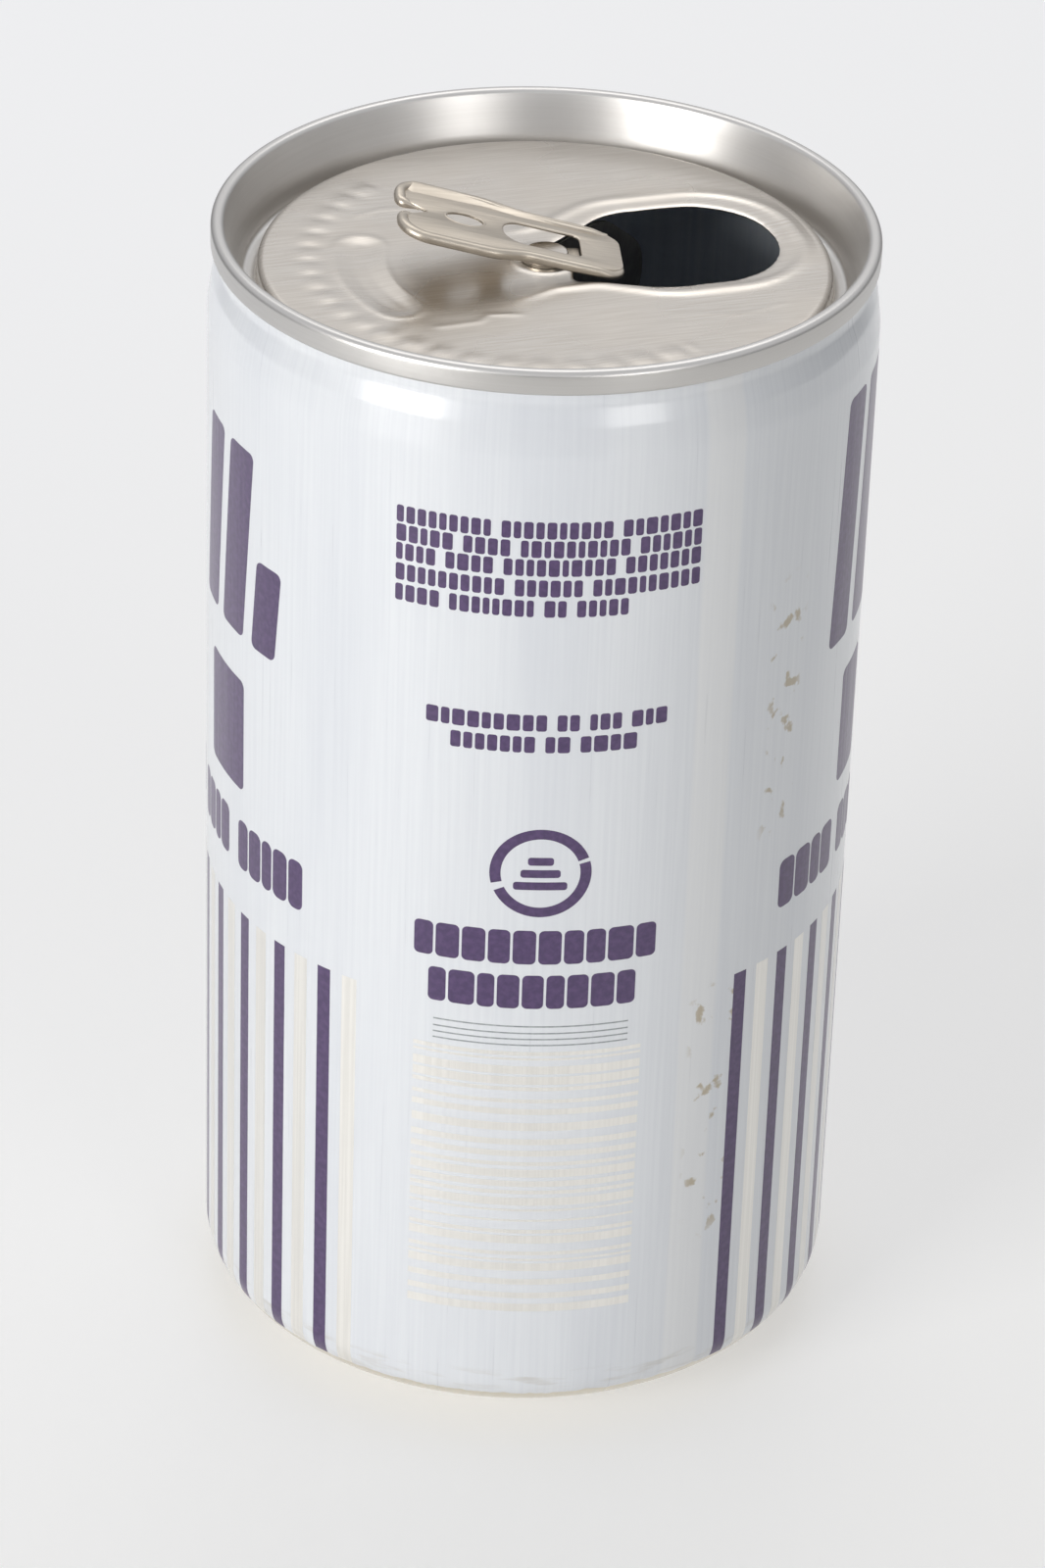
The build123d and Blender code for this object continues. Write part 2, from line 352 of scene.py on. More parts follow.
def capped(grid: np.ndarray) -> np.ndarray:
    """Open tube with each end drawn in to a point, so that merging closes it.

    Args:
        grid: (n, around, 3) points of the tube.

    Returns:
        (n + 2, around, 3) grid whose first and last rows are the ends' middles.
    """
    first = np.broadcast_to(grid[:1].mean(1, keepdims=True), grid[:1].shape)
    last = np.broadcast_to(grid[-1:].mean(1, keepdims=True), grid[-1:].shape)
    return np.concatenate([first, grid, last], axis=0)


# ---------------------------------------------------------------- finishes


def linear(code: str) -> tuple[float, float, float, float]:
    """sRGB hex colour as linear RGBA.

    Args:
        code: colour such as "#c8c4be".

    Returns:
        Linear red, green, blue and an alpha of 1.
    """
    values = [int(code[i:i + 2], 16) / 255 for i in (1, 3, 5)]
    rgb = [v / 12.92 if v <= 0.04045 else ((v + 0.055) / 1.055) ** 2.4 for v in values]
    return (*rgb, 1.0)


def add_node(tree: bpy.types.NodeTree, kind: str, inputs: dict | None = None,
             **settings: object) -> bpy.types.Node:
    """Node with its settings, values and links.

    Args:
        tree: node tree to add to.
        kind: node type name without its "ShaderNode".
        inputs: socket name or number to a value, to an output socket to link from, or to a node
            whose first output in use is linked.
        **settings: attributes of the node.

    Returns:
        The new node.
    """
    node = tree.nodes.new("ShaderNode" + kind)
    for key, value in settings.items():
        setattr(node, key, value)
    for key, value in (inputs or {}).items():
        if isinstance(value, bpy.types.Node):
            value = next(out for out in value.outputs if out.enabled)
        if isinstance(value, bpy.types.NodeSocket):
            tree.links.new(value, node.inputs[key])
        else:
            node.inputs[key].default_value = value
    return node


@dataclass
class Finish:
    """A material built from nodes on a Principled shader, with patterns sized in real lengths."""

    name: str
    material: bpy.types.Material = field(init=False)
    node: Callable[..., bpy.types.Node] = field(init=False)

    def __post_init__(self) -> None:
        """Make the material with an empty tree."""
        self.material = bpy.data.materials.new(self.name)
        self.material.use_nodes = True
        self.material.node_tree.nodes.clear()
        self.node = partial(add_node, self.material.node_tree)

    def shade(self, **inputs: object) -> "Finish":
        """Add the shader and the output.

        Args:
            **inputs: values, nodes or sockets by socket name, with _ for a space.

        Returns:
            The finish itself.
        """
        names = {key.replace("_", " "): value for key, value in inputs.items()}
        shader = self.node("BsdfPrincipled", names)
        self.node("OutputMaterial", {"Surface": shader})
        return self

    def place(self) -> tuple[bpy.types.NodeSocket, bpy.types.Node]:
        """Object coordinates in metres, and the same split into x, y and z."""
        coords = self.node("TexCoord").outputs["Object"]
        return coords, self.node("SeparateXYZ", {0: coords})

    def skin(self, radius_mm: float = 33.0) -> tuple[bpy.types.Node, ...]:
        """Coordinates of a drum's skin laid flat.

        Args:
            radius_mm: radius at which one radian is one radius long.

        Returns:
            Vector (arc length, 0, height) in metres, the angle in degrees and the height in mm.
        """
        split = self.place()[1]
        angle = self.node("Math", {0: split.outputs[1], 1: split.outputs[0]}, operation="ARCTAN2")
        arc = self.node("Math", {0: angle, 1: radius_mm * MM}, operation="MULTIPLY")
        flat = self.node("CombineXYZ", {0: arc, 2: split.outputs[2]})
        degrees = self.node("Math", {0: angle, 1: 180 / math.pi}, operation="MULTIPLY")
        height = self.node("Math", {0: split.outputs[2], 1: 1 / MM}, operation="MULTIPLY")
        return flat, degrees, height

    def pattern(self, coords: object, cycles: tuple[float, float, float], low: float, high: float,
                detail: float = 3.0) -> bpy.types.Node:
        """Noise mask, 0 where the noise is under low and 1 where it is over high.

        Args:
            coords: coordinates in metres.
            cycles: cycles per metre on each axis, so 1000 is a pitch of 1 mm.
            low: noise level where the mask starts.
            high: noise level where it is full.
            detail: octaves of noise.

        Returns:
            The mask's node.
        """
        mapped = self.node("Mapping", {"Vector": coords, "Scale": cycles})
        noise = self.node("TexNoise", {"Vector": mapped, "Scale": 1.0, "Detail": detail})
        return self.node("MapRange", {"Value": noise, "From Min": low, "From Max": high},
                         interpolation_type="SMOOTHSTEP")

    def patch(self, *bands: tuple[object, float, float, float]) -> bpy.types.Node:
        """Soft-edged mask that is 1 where every value lies in its band.

        Args:
            *bands: (value, low, high, soft) with the width of the fade outside low and high.

        Returns:
            The mask's node.
        """
        mask = None
        for value, low, high, soft in bands:
            for edge, inner in ((low - soft, low), (high + soft, high)):
                start, stop = sorted((edge, inner))
                side = self.node("MapRange", {
                    "Value": value, "From Min": start, "From Max": stop,
                    "To Min": float(start == inner), "To Max": float(stop == inner)},
                    interpolation_type="SMOOTHSTEP")
                mask = side if mask is None else self.node("Math", {0: mask, 1: side},
                                                           operation="MULTIPLY")
        return mask

    def layered(self, base: str, *layers: tuple[object, float, str]) -> bpy.types.Node:
        """Colours laid over a base colour.

        Args:
            base: sRGB hex of the base.
            *layers: (mask, share, sRGB hex) of each layer, from the lowest up.

        Returns:
            The last mix.
        """
        colour: object = linear(base)
        for mask, share, code in layers:
            amount = self.node("Math", {0: mask, 1: share}, operation="MULTIPLY")
            colour = self.node("Mix", {"Factor": amount, 6: colour, 7: linear(code)},
                               data_type="RGBA")
        return colour


def printed_coat() -> Finish:
    """White base coat rolled on ironed aluminium under clear varnish.

    Ironing leaves fine upright lines about 0.4 mm apart that show through the coat. The coat stops
    at a wavy edge 4.4 to 5 mm above the foot, where bare metal starts. Small dried stains sit on
    one side.
    To the eye it is a cool satin white with long soft highlights.

    Returns:
        The finish.
    """
    f = Finish("white_base_coat_under_varnish")
    flat, degrees, height = f.skin()
    lines = f.pattern(flat, (2400.0, 1.0, 45.0), 0.25, 0.75)
    broad = f.pattern(flat, (90.0, 1.0, 14.0), 0.45, 0.75, 2.0)
    specks = f.pattern(flat, (430.0, 1.0, 390.0), 0.575, 0.64, 6.0)
    low_stain = f.patch((degrees, -75.0, -68.0, 3.0), (height, 24.0, 50.0, 4.0))
    high_stain = f.patch((degrees, -62.0, -57.0, 3.0), (height, 70.0, 92.0, 5.0))
    stained = f.node("Math", {0: low_stain, 1: high_stain}, operation="MAXIMUM")
    dried = f.node("Math", {0: specks, 1: stained}, operation="MULTIPLY")
    # A darker warm grey in ragged patches, in a band 5.2 to 7.2 mm above the foot, just over the
    # coat's edge.
    ragged_foot_band = f.pattern(flat, (160.0, 1.0, 900.0), 0.48, 0.72, 4.0)
    foot = f.patch((height, 5.2, 7.2, 1.0))
    foot_band = f.node("Math", {0: foot, 1: ragged_foot_band}, operation="MULTIPLY")
    wander = f.pattern(flat, (420.0, 1.0, 10.0), 0.2, 0.8, 2.0)
    edge = f.node("Math", {0: wander, 1: -0.5, 2: height}, operation="MULTIPLY_ADD")
    bare = f.node("MapRange", {"Value": edge, "From Min": 4.42, "From Max": 4.52,
                               "To Min": 1.0, "To Max": 0.0})
    colour = f.layered("#d9dce1", (lines, 1.0, "#dfe2e6"), (broad, 0.35, "#cbcfd7"),
                       (f.patch((degrees, -78.5, -72.5, 1.2)), 0.45, "#e9e9e8"),
                       (dried, 0.7, "#a18c5e"), (foot_band, 0.5, "#b9b3a8"), (bare, 1.0, "#d9d2c2"))
    metallic = f.node("MapRange", {"Value": bare, "To Min": 0.0, "To Max": 0.95})
    rough = f.node("MapRange", {"Value": lines, "To Min": 0.27, "To Max": 0.36})
    relief = f.node("Bump", {"Strength": 0.25, "Distance": 0.003 * MM, "Height": lines})
    return f.shade(Base_Color=colour, Metallic=metallic, Roughness=rough, Coat_Weight=0.8,
                   Coat_Roughness=0.15, Normal=relief)


def printing_ink(name: str, dark: str, light: str) -> Finish:
    """Printing ink under varnish, laid slightly unevenly by the roller at a scale of 0.7 mm.

    To the eye it is a soft, faintly mottled tone with a satin sheen.

    Args:
        name: material name.
        dark: sRGB hex where the ink is full.
        light: sRGB hex where it is thin.

    Returns:
        The finish.
    """
    f = Finish(name)
    flat, _, _ = f.skin()
    mottle = f.pattern(flat, (1500.0, 1.0, 1500.0), 0.35, 0.7, 4.0)
    lines = f.pattern(flat, (2400.0, 1.0, 45.0), 0.25, 0.75)
    colour = f.layered(dark, (mottle, 1.0, light))
    rough = f.node("MapRange", {"Value": lines, "To Min": 0.30, "To Max": 0.40})
    relief = f.node("Bump", {"Strength": 0.6, "Distance": 0.006 * MM, "Height": lines})
    return f.shade(Base_Color=colour, Roughness=rough, Coat_Weight=0.35, Coat_Roughness=0.16,
                   Normal=relief)


def varnished_metal() -> Finish:
    """Windows in the base coat where ironed aluminium shows under clear varnish.

    To the eye they are warm, pale stripes that brighten and dim round the can.

    Returns:
        The finish.
    """
    f = Finish("ironed_aluminium_under_varnish")
    flat, _, _ = f.skin()
    lines = f.pattern(flat, (3000.0, 1.0, 30.0), 0.3, 0.7)
    colour = f.layered("#e3e1dc", (lines, 1.0, "#eceae5"))
    rough = f.node("MapRange", {"Value": lines, "To Min": 0.32, "To Max": 0.42})
    relief = f.node("Bump", {"Strength": 0.7, "Distance": 0.008 * MM, "Height": lines})
    return f.shade(Base_Color=colour, Metallic=0.6, Roughness=rough, Coat_Weight=0.3,
                   Coat_Roughness=0.15, Normal=relief)


def rolled_sheet(name: str, dark: str, light: str, rough: float, brushed: bool) -> Finish:
    """Bare rolled aluminium sheet with fine straight grain, and turned brushing on the seam.

    To the eye it is a warm pale grey whose reflections smear along the grain.

    Args:
        name: material name.
        dark: sRGB hex of the grain's darker lines.
        light: sRGB hex of its lighter lines.
        rough: lowest roughness.
        brushed: whether the outer ring carries circumferential tool marks instead of grain.

    Returns:
        The finish. The real grain is about 0.1 mm wide; it is drawn 0.28 mm wide and 5 mm long,
        the finest that still shows.
    """
    f = Finish(name)
    coords, split = f.place()
    grain = f.pattern(coords, (180.0, 3600.0, 600.0), 0.25, 0.75, 2.0)
    if brushed:
        plan = f.node("CombineXYZ", {0: split.outputs[0], 1: split.outputs[1]})
        radius = f.node("VectorMath", {0: plan}, operation="LENGTH").outputs["Value"]
        angle = f.node("Math", {0: split.outputs[1], 1: split.outputs[0]}, operation="ARCTAN2")
        arc = f.node("Math", {0: angle, 1: 30 * MM}, operation="MULTIPLY")
        turned = f.node("CombineXYZ", {0: radius, 1: arc, 2: split.outputs[2]})
        marks = f.pattern(turned, (3800.0, 50.0, 3800.0), 0.25, 0.75, 2.0)
        outer = f.node("MapRange", {"Value": radius, "From Min": 28.2 * MM, "From Max": 29.0 * MM})
        grain = f.node("Mix", {"Factor": outer, 2: grain, 3: marks}, data_type="FLOAT")
    stains = f.pattern(coords, (120.0, 120.0, 120.0), 0.35, 0.75, 1.0)
    layers = [(grain, 1.0, light), (stains, 0.2, "#a59d92")]
    roughness = f.node("MapRange", {"Value": stains, "To Min": rough, "To Max": rough + 0.10})
    if brushed:
        layers.append((outer, 0.7, "#c6c6c6"))
        roughness = f.node("MapRange", {"Value": outer, "To Min": roughness, "To Max": 0.36})
    colour = f.layered(dark, *layers)
    relief = f.node("Bump", {"Strength": 0.25, "Distance": 0.004 * MM, "Height": grain})
    return f.shade(Base_Color=colour, Metallic=1.0, Roughness=roughness, Normal=relief)


def lacquered_inside() -> Finish:
    """Ironed wall inside the can under clear lacquer, seen only as a dim sheen in the mouth.

    Returns:
        The finish.
    """
    f = Finish("lacquered_inner_wall")
    flat, _, _ = f.skin()
    lines = f.pattern(flat, (1500.0, 1.0, 25.0), 0.2, 0.8, 2.0)
    colour = f.layered("#d3dbe6", (lines, 1.0, "#e0e6ee"))
    relief = f.node("Bump", {"Strength": 0.6, "Distance": 0.01 * MM, "Height": lines})
    return f.shade(Base_Color=colour, Metallic=0.1, Roughness=0.28, Normal=relief)


def sealing_rubber() -> Finish:
    """Cured sealing compound hidden inside the double seam, matt and tan.

    Returns:
        The finish.
    """
    f = Finish("cured_sealing_compound")
    grain = f.pattern(f.place()[0], (3000.0, 3000.0, 3000.0), 0.3, 0.7)
    return f.shade(Base_Color=f.layered("#8d8778", (grain, 1.0, "#a29c8c")), Roughness=0.8)


# ---------------------------------------------------------------- the can's body and its print


@dataclass
class CanBody:
    """Drawn and ironed body: domed base, standing ring, straight wall, neck and printed label."""

    radius: float = 33.02
    wall: float = 0.15
    stand_inner: float = 23.9
    stand_outer: float = 26.1
    dome_height: float = 10.3
    dome_corner: float = 12.232
    dome_edge: float = 23.6
    neck_start: float = 113.4
    neck_break: float = 116.4
    neck_break_radius: float = 32.59
    neck_end: float = 118.3
    neck_radius: float = 31.91
    top: float = 121.2
    around: int = 360

    def outer_profile(self) -> np.ndarray:
        """(radius, height) points of the outside, from the dome's middle up to the seam.

        Returns:
            Rounded corner path: dome, standing ring, chime, wall and the neck's two bends.
        """
        drop = (self.dome_edge - self.dome_corner) * math.tan(math.radians(28))
        slope = (self.radius - self.stand_outer) * math.tan(math.radians(31))
        corners = np.array([
            (0.0, self.dome_height), (self.dome_corner, self.dome_height),
            (self.dome_edge, self.dome_height - drop), (self.stand_inner, 0.0),
            (self.stand_outer, 0.0), (self.radius, slope), (self.radius, self.neck_start),
            (self.neck_break_radius, self.neck_break), (self.neck_radius, self.neck_end),
            (self.neck_radius, self.top),
        ])
        return rounded_path(corners, [48.0, 1.0, 0.8, 2.0, 5.0, 6.0, 4.0, 2.5])

    def profile(self) -> np.ndarray:
        """Closed section: the outside, then the inside face set back by the sheet's thickness.

        Returns:
            (n, 2) points of radius and height.
        """
        outer = thinned_runs(self.outer_profile(), 2.5)
        run = np.gradient(outer, axis=0)
        run /= np.linalg.norm(run, axis=1)[:, None]
        inner = outer + self.wall * np.stack([-run[:, 1], run[:, 0]], axis=1)
        inner[0] = (0.0, outer[0, 1] + self.wall)
        inner[:, 0] = np.maximum(inner[:, 0], 0.0)
        return np.vstack([outer, inner[::-1]])

    def build(self, coat: Finish, inside: Finish) -> bpy.types.Object:
        """Make the shell, coated outside and lacquered inside.

        Args:
            coat: finish of the outside.
            inside: finish of the inner face.

        Returns:
            The body's object.
        """
        profile = self.profile()
        rows = len(profile)
        obj = closed_grid_object("can_shell", revolved(profile, self.around), False, True,
                                 35.0, merge=True)
        obj.data.materials.append(coat.material)
        obj.data.materials.append(inside.material)
        mesh = obj.data
        centres = np.empty(3 * len(mesh.polygons), np.float32)
        normals = np.empty(3 * len(mesh.polygons), np.float32)
        mesh.polygons.foreach_get("center", centres)
        mesh.polygons.foreach_get("normal", normals)
        centres, normals = centres.reshape(-1, 3), normals.reshape(-1, 3)
        outward = (centres[:, :2] * normals[:, :2]).sum(1)
        upward = normals[:, 2]
        wall = centres[:, 2] > 6 * MM
        near_axis = np.hypot(centres[:, 0], centres[:, 1]) < 28 * MM
        inner = np.where(wall & ~near_axis, outward < 0, upward > 0.02)
        mesh.polygons.foreach_set("material_index", inner.astype(np.int32))
        mesh.update()
        LOG.info("can_shell: %d rows of %d", rows, self.around)
        return obj

    def radius_at(self, height: np.ndarray) -> np.ndarray:
        """Outside radius of the chime, wall and neck.

        Args:
            height: heights in mm.

        Returns:
            Radii in mm, read off the outer profile.
        """
        outer = self.outer_profile()
        keep = (outer[:, 0] > self.stand_outer) & (outer[:, 1] > 0.5)
        return np.interp(height, outer[keep, 1], outer[keep, 0])

    def wrap(self, arc: np.ndarray, height: np.ndarray, proud: float) -> np.ndarray:
        """Put a flat grid of (arc length at 33.02 mm, height) on the body's skin.

        Args:
            arc: arc lengths from the +X side, anticlockwise.
            height: heights.
            proud: how far outside the skin the points lie.

        Returns:
            (..., 3) points (R cos a, R sin a, z), with a = arc / 33.02 and R = radius + proud.
        """
        angle = arc / self.radius
        r = self.radius_at(height) + proud
        return np.stack([r * np.cos(angle), r * np.sin(angle), height], axis=-1)


@dataclass
class PrintLayer:
    """Flat marks of one colour, wrapped on the body as very thin closed sheets."""

    body: CanBody
    name: str
    low: float = 0.002
    proud: float = 0.012
    points: list[np.ndarray] = field(default_factory=list)
    quads: list[np.ndarray] = field(default_factory=list)
    count: int = 0

    def add(self, arc: np.ndarray, height: np.ndarray) -> None:
        """Add one mark from a grid of flat coordinates, as a front and a back joined at the edge.

        Args:
            arc: (rows, cols) arc lengths in mm.
            height: (rows, cols) heights in mm.
        """
        front = self.body.wrap(arc, height, self.proud)
        back = self.body.wrap(arc, height, self.low)
        ring = np.concatenate([front, back[:, ::-1]], axis=1)
        rows, cols = ring.shape[:2]
        quads = grid_faces(rows, cols, False, True)
        half = cols // 2
        caps = []
        for row in (0, rows - 1):
            j = np.arange(half - 1)
            cap = np.stack([j, cols - 1 - j, cols - 2 - j, j + 1], axis=1) + row * cols
            caps.append(cap if row == 0 else cap[:, ::-1])
        quads = np.vstack([quads, *caps])
        flat = ring.reshape(-1, 3)
        if signed_volume(flat - flat.mean(0), quads) < 0:
            quads = quads[:, ::-1]
        self.points.append(flat)
        self.quads.append(quads + self.count)
        self.count += len(flat)

    def strip(self, start: float, end: float, low: float, high: float, slant: float = 0.0,
              corner: float = 0.0) -> None:
        """Add a bar between two angles and two heights.

        Args:
            start: first angle in degrees.
            end: second angle in degrees.
            low: lower edge in mm.
            high: upper edge in mm.
            slant: how many mm of arc the top is moved past the bottom.
            corner: radius of rounded ends in mm.
        """
        a, b = [math.radians(v) * self.body.radius for v in (start, end)]
        cols = max(int(abs(b - a) / 0.6), 2) + 1
        span = high - low
        rows = max(int(span / 2.0), 1) + 1
        heights = np.linspace(low, high, rows)
        if low < 8.0:
            heights = np.unique(np.concatenate([np.arange(low, min(8.0, high), 0.3),
                                                heights[heights > 8.0], [high]]))
        t = np.linspace(0.0, 1.0, cols)
        if corner > 0:
            ease = np.linspace(0.0, 1.0, 6) ** 2 * corner / abs(b - a)
            t = np.unique(np.concatenate([ease, t[(t > ease[-1]) & (t < 1 - ease[-1])], 1 - ease]))
            x = np.abs(b - a) * np.minimum(t, 1 - t)
            cut = np.where(x < corner, corner - np.sqrt(np.maximum(
                corner ** 2 - (corner - x) ** 2, 0.0)), 0.0)
            cut = np.minimum(cut, 0.5 * span - 0.02)
        else:
            cut = np.zeros_like(t)
        rise = (heights[:, None] - low) / span
        z = low + cut + rise * (span - 2 * cut)
        arc = a + (b - a) * t[None, :] + slant * (z - low) / span
        self.add(arc, z)

    def ring(self, angle: float, height: float, outer: float, inner: float,
             first: float = 0.0, last: float = 360.0) -> None:
        """Add an arc-shaped mark round a point of the label.

        Args:
            angle: middle, in degrees round the can.
            height: middle, in mm.
            outer: outer radius in mm.
            inner: inner radius in mm.
            first: start of the arc, in degrees on the label.
            last: end of the arc.
        """
        s = np.radians(np.linspace(first, last, 40))
        r = np.linspace(inner, outer, 3)
        arc = math.radians(angle) * self.body.radius + r[None, :] * np.cos(s)[:, None]
        self.add(arc, height + r[None, :] * np.sin(s)[:, None])

    def build(self, finish: Finish) -> bpy.types.Object:
        """Make one object of all the marks and dress it.

        Args:
            finish: the marks' finish.

        Returns:
            The layer's object.
        """
        obj = mesh_object(self.name, np.vstack(self.points), np.vstack(self.quads), 60.0,
                          merge=True)
        obj.data.materials.append(finish.material)
        LOG.info("%s: %d marks", self.name, len(self.points))
        return obj


@dataclass
class Label:
    """The print: stripes round the lower half, rows of plain blocks and broad slanted blocks."""

    body: CanBody
    turn: float = -18.0
    stripe_pitch: float = 10.846
    stripe_count: int = 27
    stripe_first: float = -48.5
    stripe_wide: float = 2.8
    stripe_low: float = 4.75
    stripe_high: float = 52.2
    word_radius: float = 33.0

    def words(self, layer: PrintLayer, start: float, end: float, low: float, tall: float,
              lengths: list[float], gap: float = 1.3, block: float = 0.72) -> None:
        """Fill one line with runs of plain upright blocks whose lengths have given proportions.

        Args:
            layer: layer to print on.
            start: angle where the line starts.
            end: angle where it ends.
            low: bottom of the line in mm.
            tall: height of the line in mm.
            lengths: relative lengths of the runs.
            gap: angle left between runs.
            block: width of a block as a share of its height.
        """
        share = (end - start - gap * (len(lengths) - 1)) / sum(lengths)
        rng = np.random.default_rng(int(low * 10))
        at = start + self.turn
        for length in lengths:
            run = math.radians(length * share) * self.word_radius
            count = max(int(round(run / (block * tall))), 1)
            edges = at + length * share * np.linspace(0.0, 1.0, count + 1)
            edges[1:-1] += rng.uniform(-0.12, 0.12, count - 1) * length * share / count
            slit = math.degrees(min(0.11 * tall, 0.13) / self.word_radius)
            for first, last in zip(edges[:-1], edges[1:]):
                layer.strip(first + slit, last - slit, low, low + tall, corner=0.14 * tall)
            at += length * share + gap

    def purple(self, layer: PrintLayer) -> None:
        """Stripes, rows of blocks, ring mark and broad blocks in purple.

        Args:
            layer: layer to print on.
        """
        for k in range(self.stripe_count):
            mid = self.stripe_first + k * self.stripe_pitch + self.turn
            layer.strip(mid - self.stripe_wide / 2, mid + self.stripe_wide / 2,
                        self.stripe_low, self.stripe_high)
        rows = [(105.0, -61.5, [3, 3.4, 2.6]), (103.0, -61.5, [2, 1.6, 3.6, 2.2]),
                (101.0, -61.5, [1.4, 1.6, 3.6, 2.6]), (98.8, -61.5, [3.6, 2.2, 3.6]),
                (96.6, -74.0, [1.8, 3.2, 0.9, 2])]
        for low, end, lengths in rows:
            self.words(layer, -113.8, end, low - 0.1, 1.8, lengths, block=0.62)
        self.words(layer, -107.8, -66.3, 84.0, 1.8, [5, 1, 1.4, 1.6])
        self.words(layer, -103.5, -71.5, 81.6, 1.8, [3.2, 1, 2.2])
        self.words(layer, -109.0, -66.4, 57.5, 3.9, [10], block=0.62)
        self.words(layer, -106.3, -69.8, 52.3, 3.9, [10], block=0.62)
        middle = -87.3 + self.turn
        layer.ring(middle, 68.0, 5.0, 3.9, 20.0, 195.0)
        layer.ring(middle, 68.0, 5.0, 3.9, 205.0, 375.0)
        for rise, half in ((-1.9, 4.6), (-0.5, 3.4), (0.9, 2.2)):
            layer.strip(middle - half, middle + half, 68.0 + rise, 68.9 + rise, corner=0.3)
        for start, end, low, high, slant in [
                (-169.0, -161.0, 84.0, 105.0, 2.0), (-158.0, -149.5, 84.0, 105.0, 2.0),
                (-146.5, -139.5, 84.0, 94.0, 1.0), (-164.0, -149.0, 66.5, 79.0, 0.0),
                (-28.0, -20.0, 84.0, 111.0, 1.5), (-17.0, -6.0, 84.0, 111.0, 1.5),
                (-20.0, -8.0, 66.5, 79.5, 0.0)]:
            layer.strip(start + self.turn, end + self.turn, low, high, slant, 0.8)
        for start, end in [(-171.0, -154.5), (-151.0, -131.5), (-40.0, -21.0), (-18.0, -4.0)]:
            self.words(layer, start, end, 57.4, 5.6, [1], block=0.44)
        rng = np.random.default_rng(21)
        for start in np.arange(0.5, 181.0, 13.0) + self.turn:
            layer.strip(start, start + 9.4, 84.0, float(rng.choice([96.0, 105.0, 111.0])),
                        float(rng.choice([0.0, 1.5])), 0.8)
        for start in np.arange(4.0, 178.0, 18.0) + self.turn:
            layer.strip(start, start + 12.5, 66.5, 79.5, 0.0, 0.8)
        self.words(layer, 1.0, 184.0, 57.4, 5.6, [3, 2, 4, 3], 4.0, 0.44)

    def silver(self, layer: PrintLayer) -> None:
        """Bare stripes beside the purple ones and a ladder of thin bars at the front.

        Args:
            layer: layer to print on.
        """
        for k in range(self.stripe_count):
            mid = self.stripe_first + k * self.stripe_pitch + self.turn + 5.42
            layer.strip(mid - 1.5, mid + 1.5, self.stripe_low, self.stripe_high)
        rng = np.random.default_rng(7)
        height = 15.5
        while height < 47.3:
            thick = float(rng.choice([0.26, 0.45, 0.7, 0.95]))
            layer.strip(-108.5 + self.turn, -68.5 + self.turn, height, height + thick)
            height += thick + float(rng.choice([0.3, 0.45, 0.7, 1.0]))

    def hairlines(self, layer: PrintLayer) -> None:
        """Four grey hairlines over the ladder, 0.16 mm thick."""
        for height in (47.9, 48.6, 49.3, 50.1):
            layer.strip(-105.0 + self.turn, -71.0 + self.turn, height, height + 0.16)


# ---------------------------------------------------------------- the lid


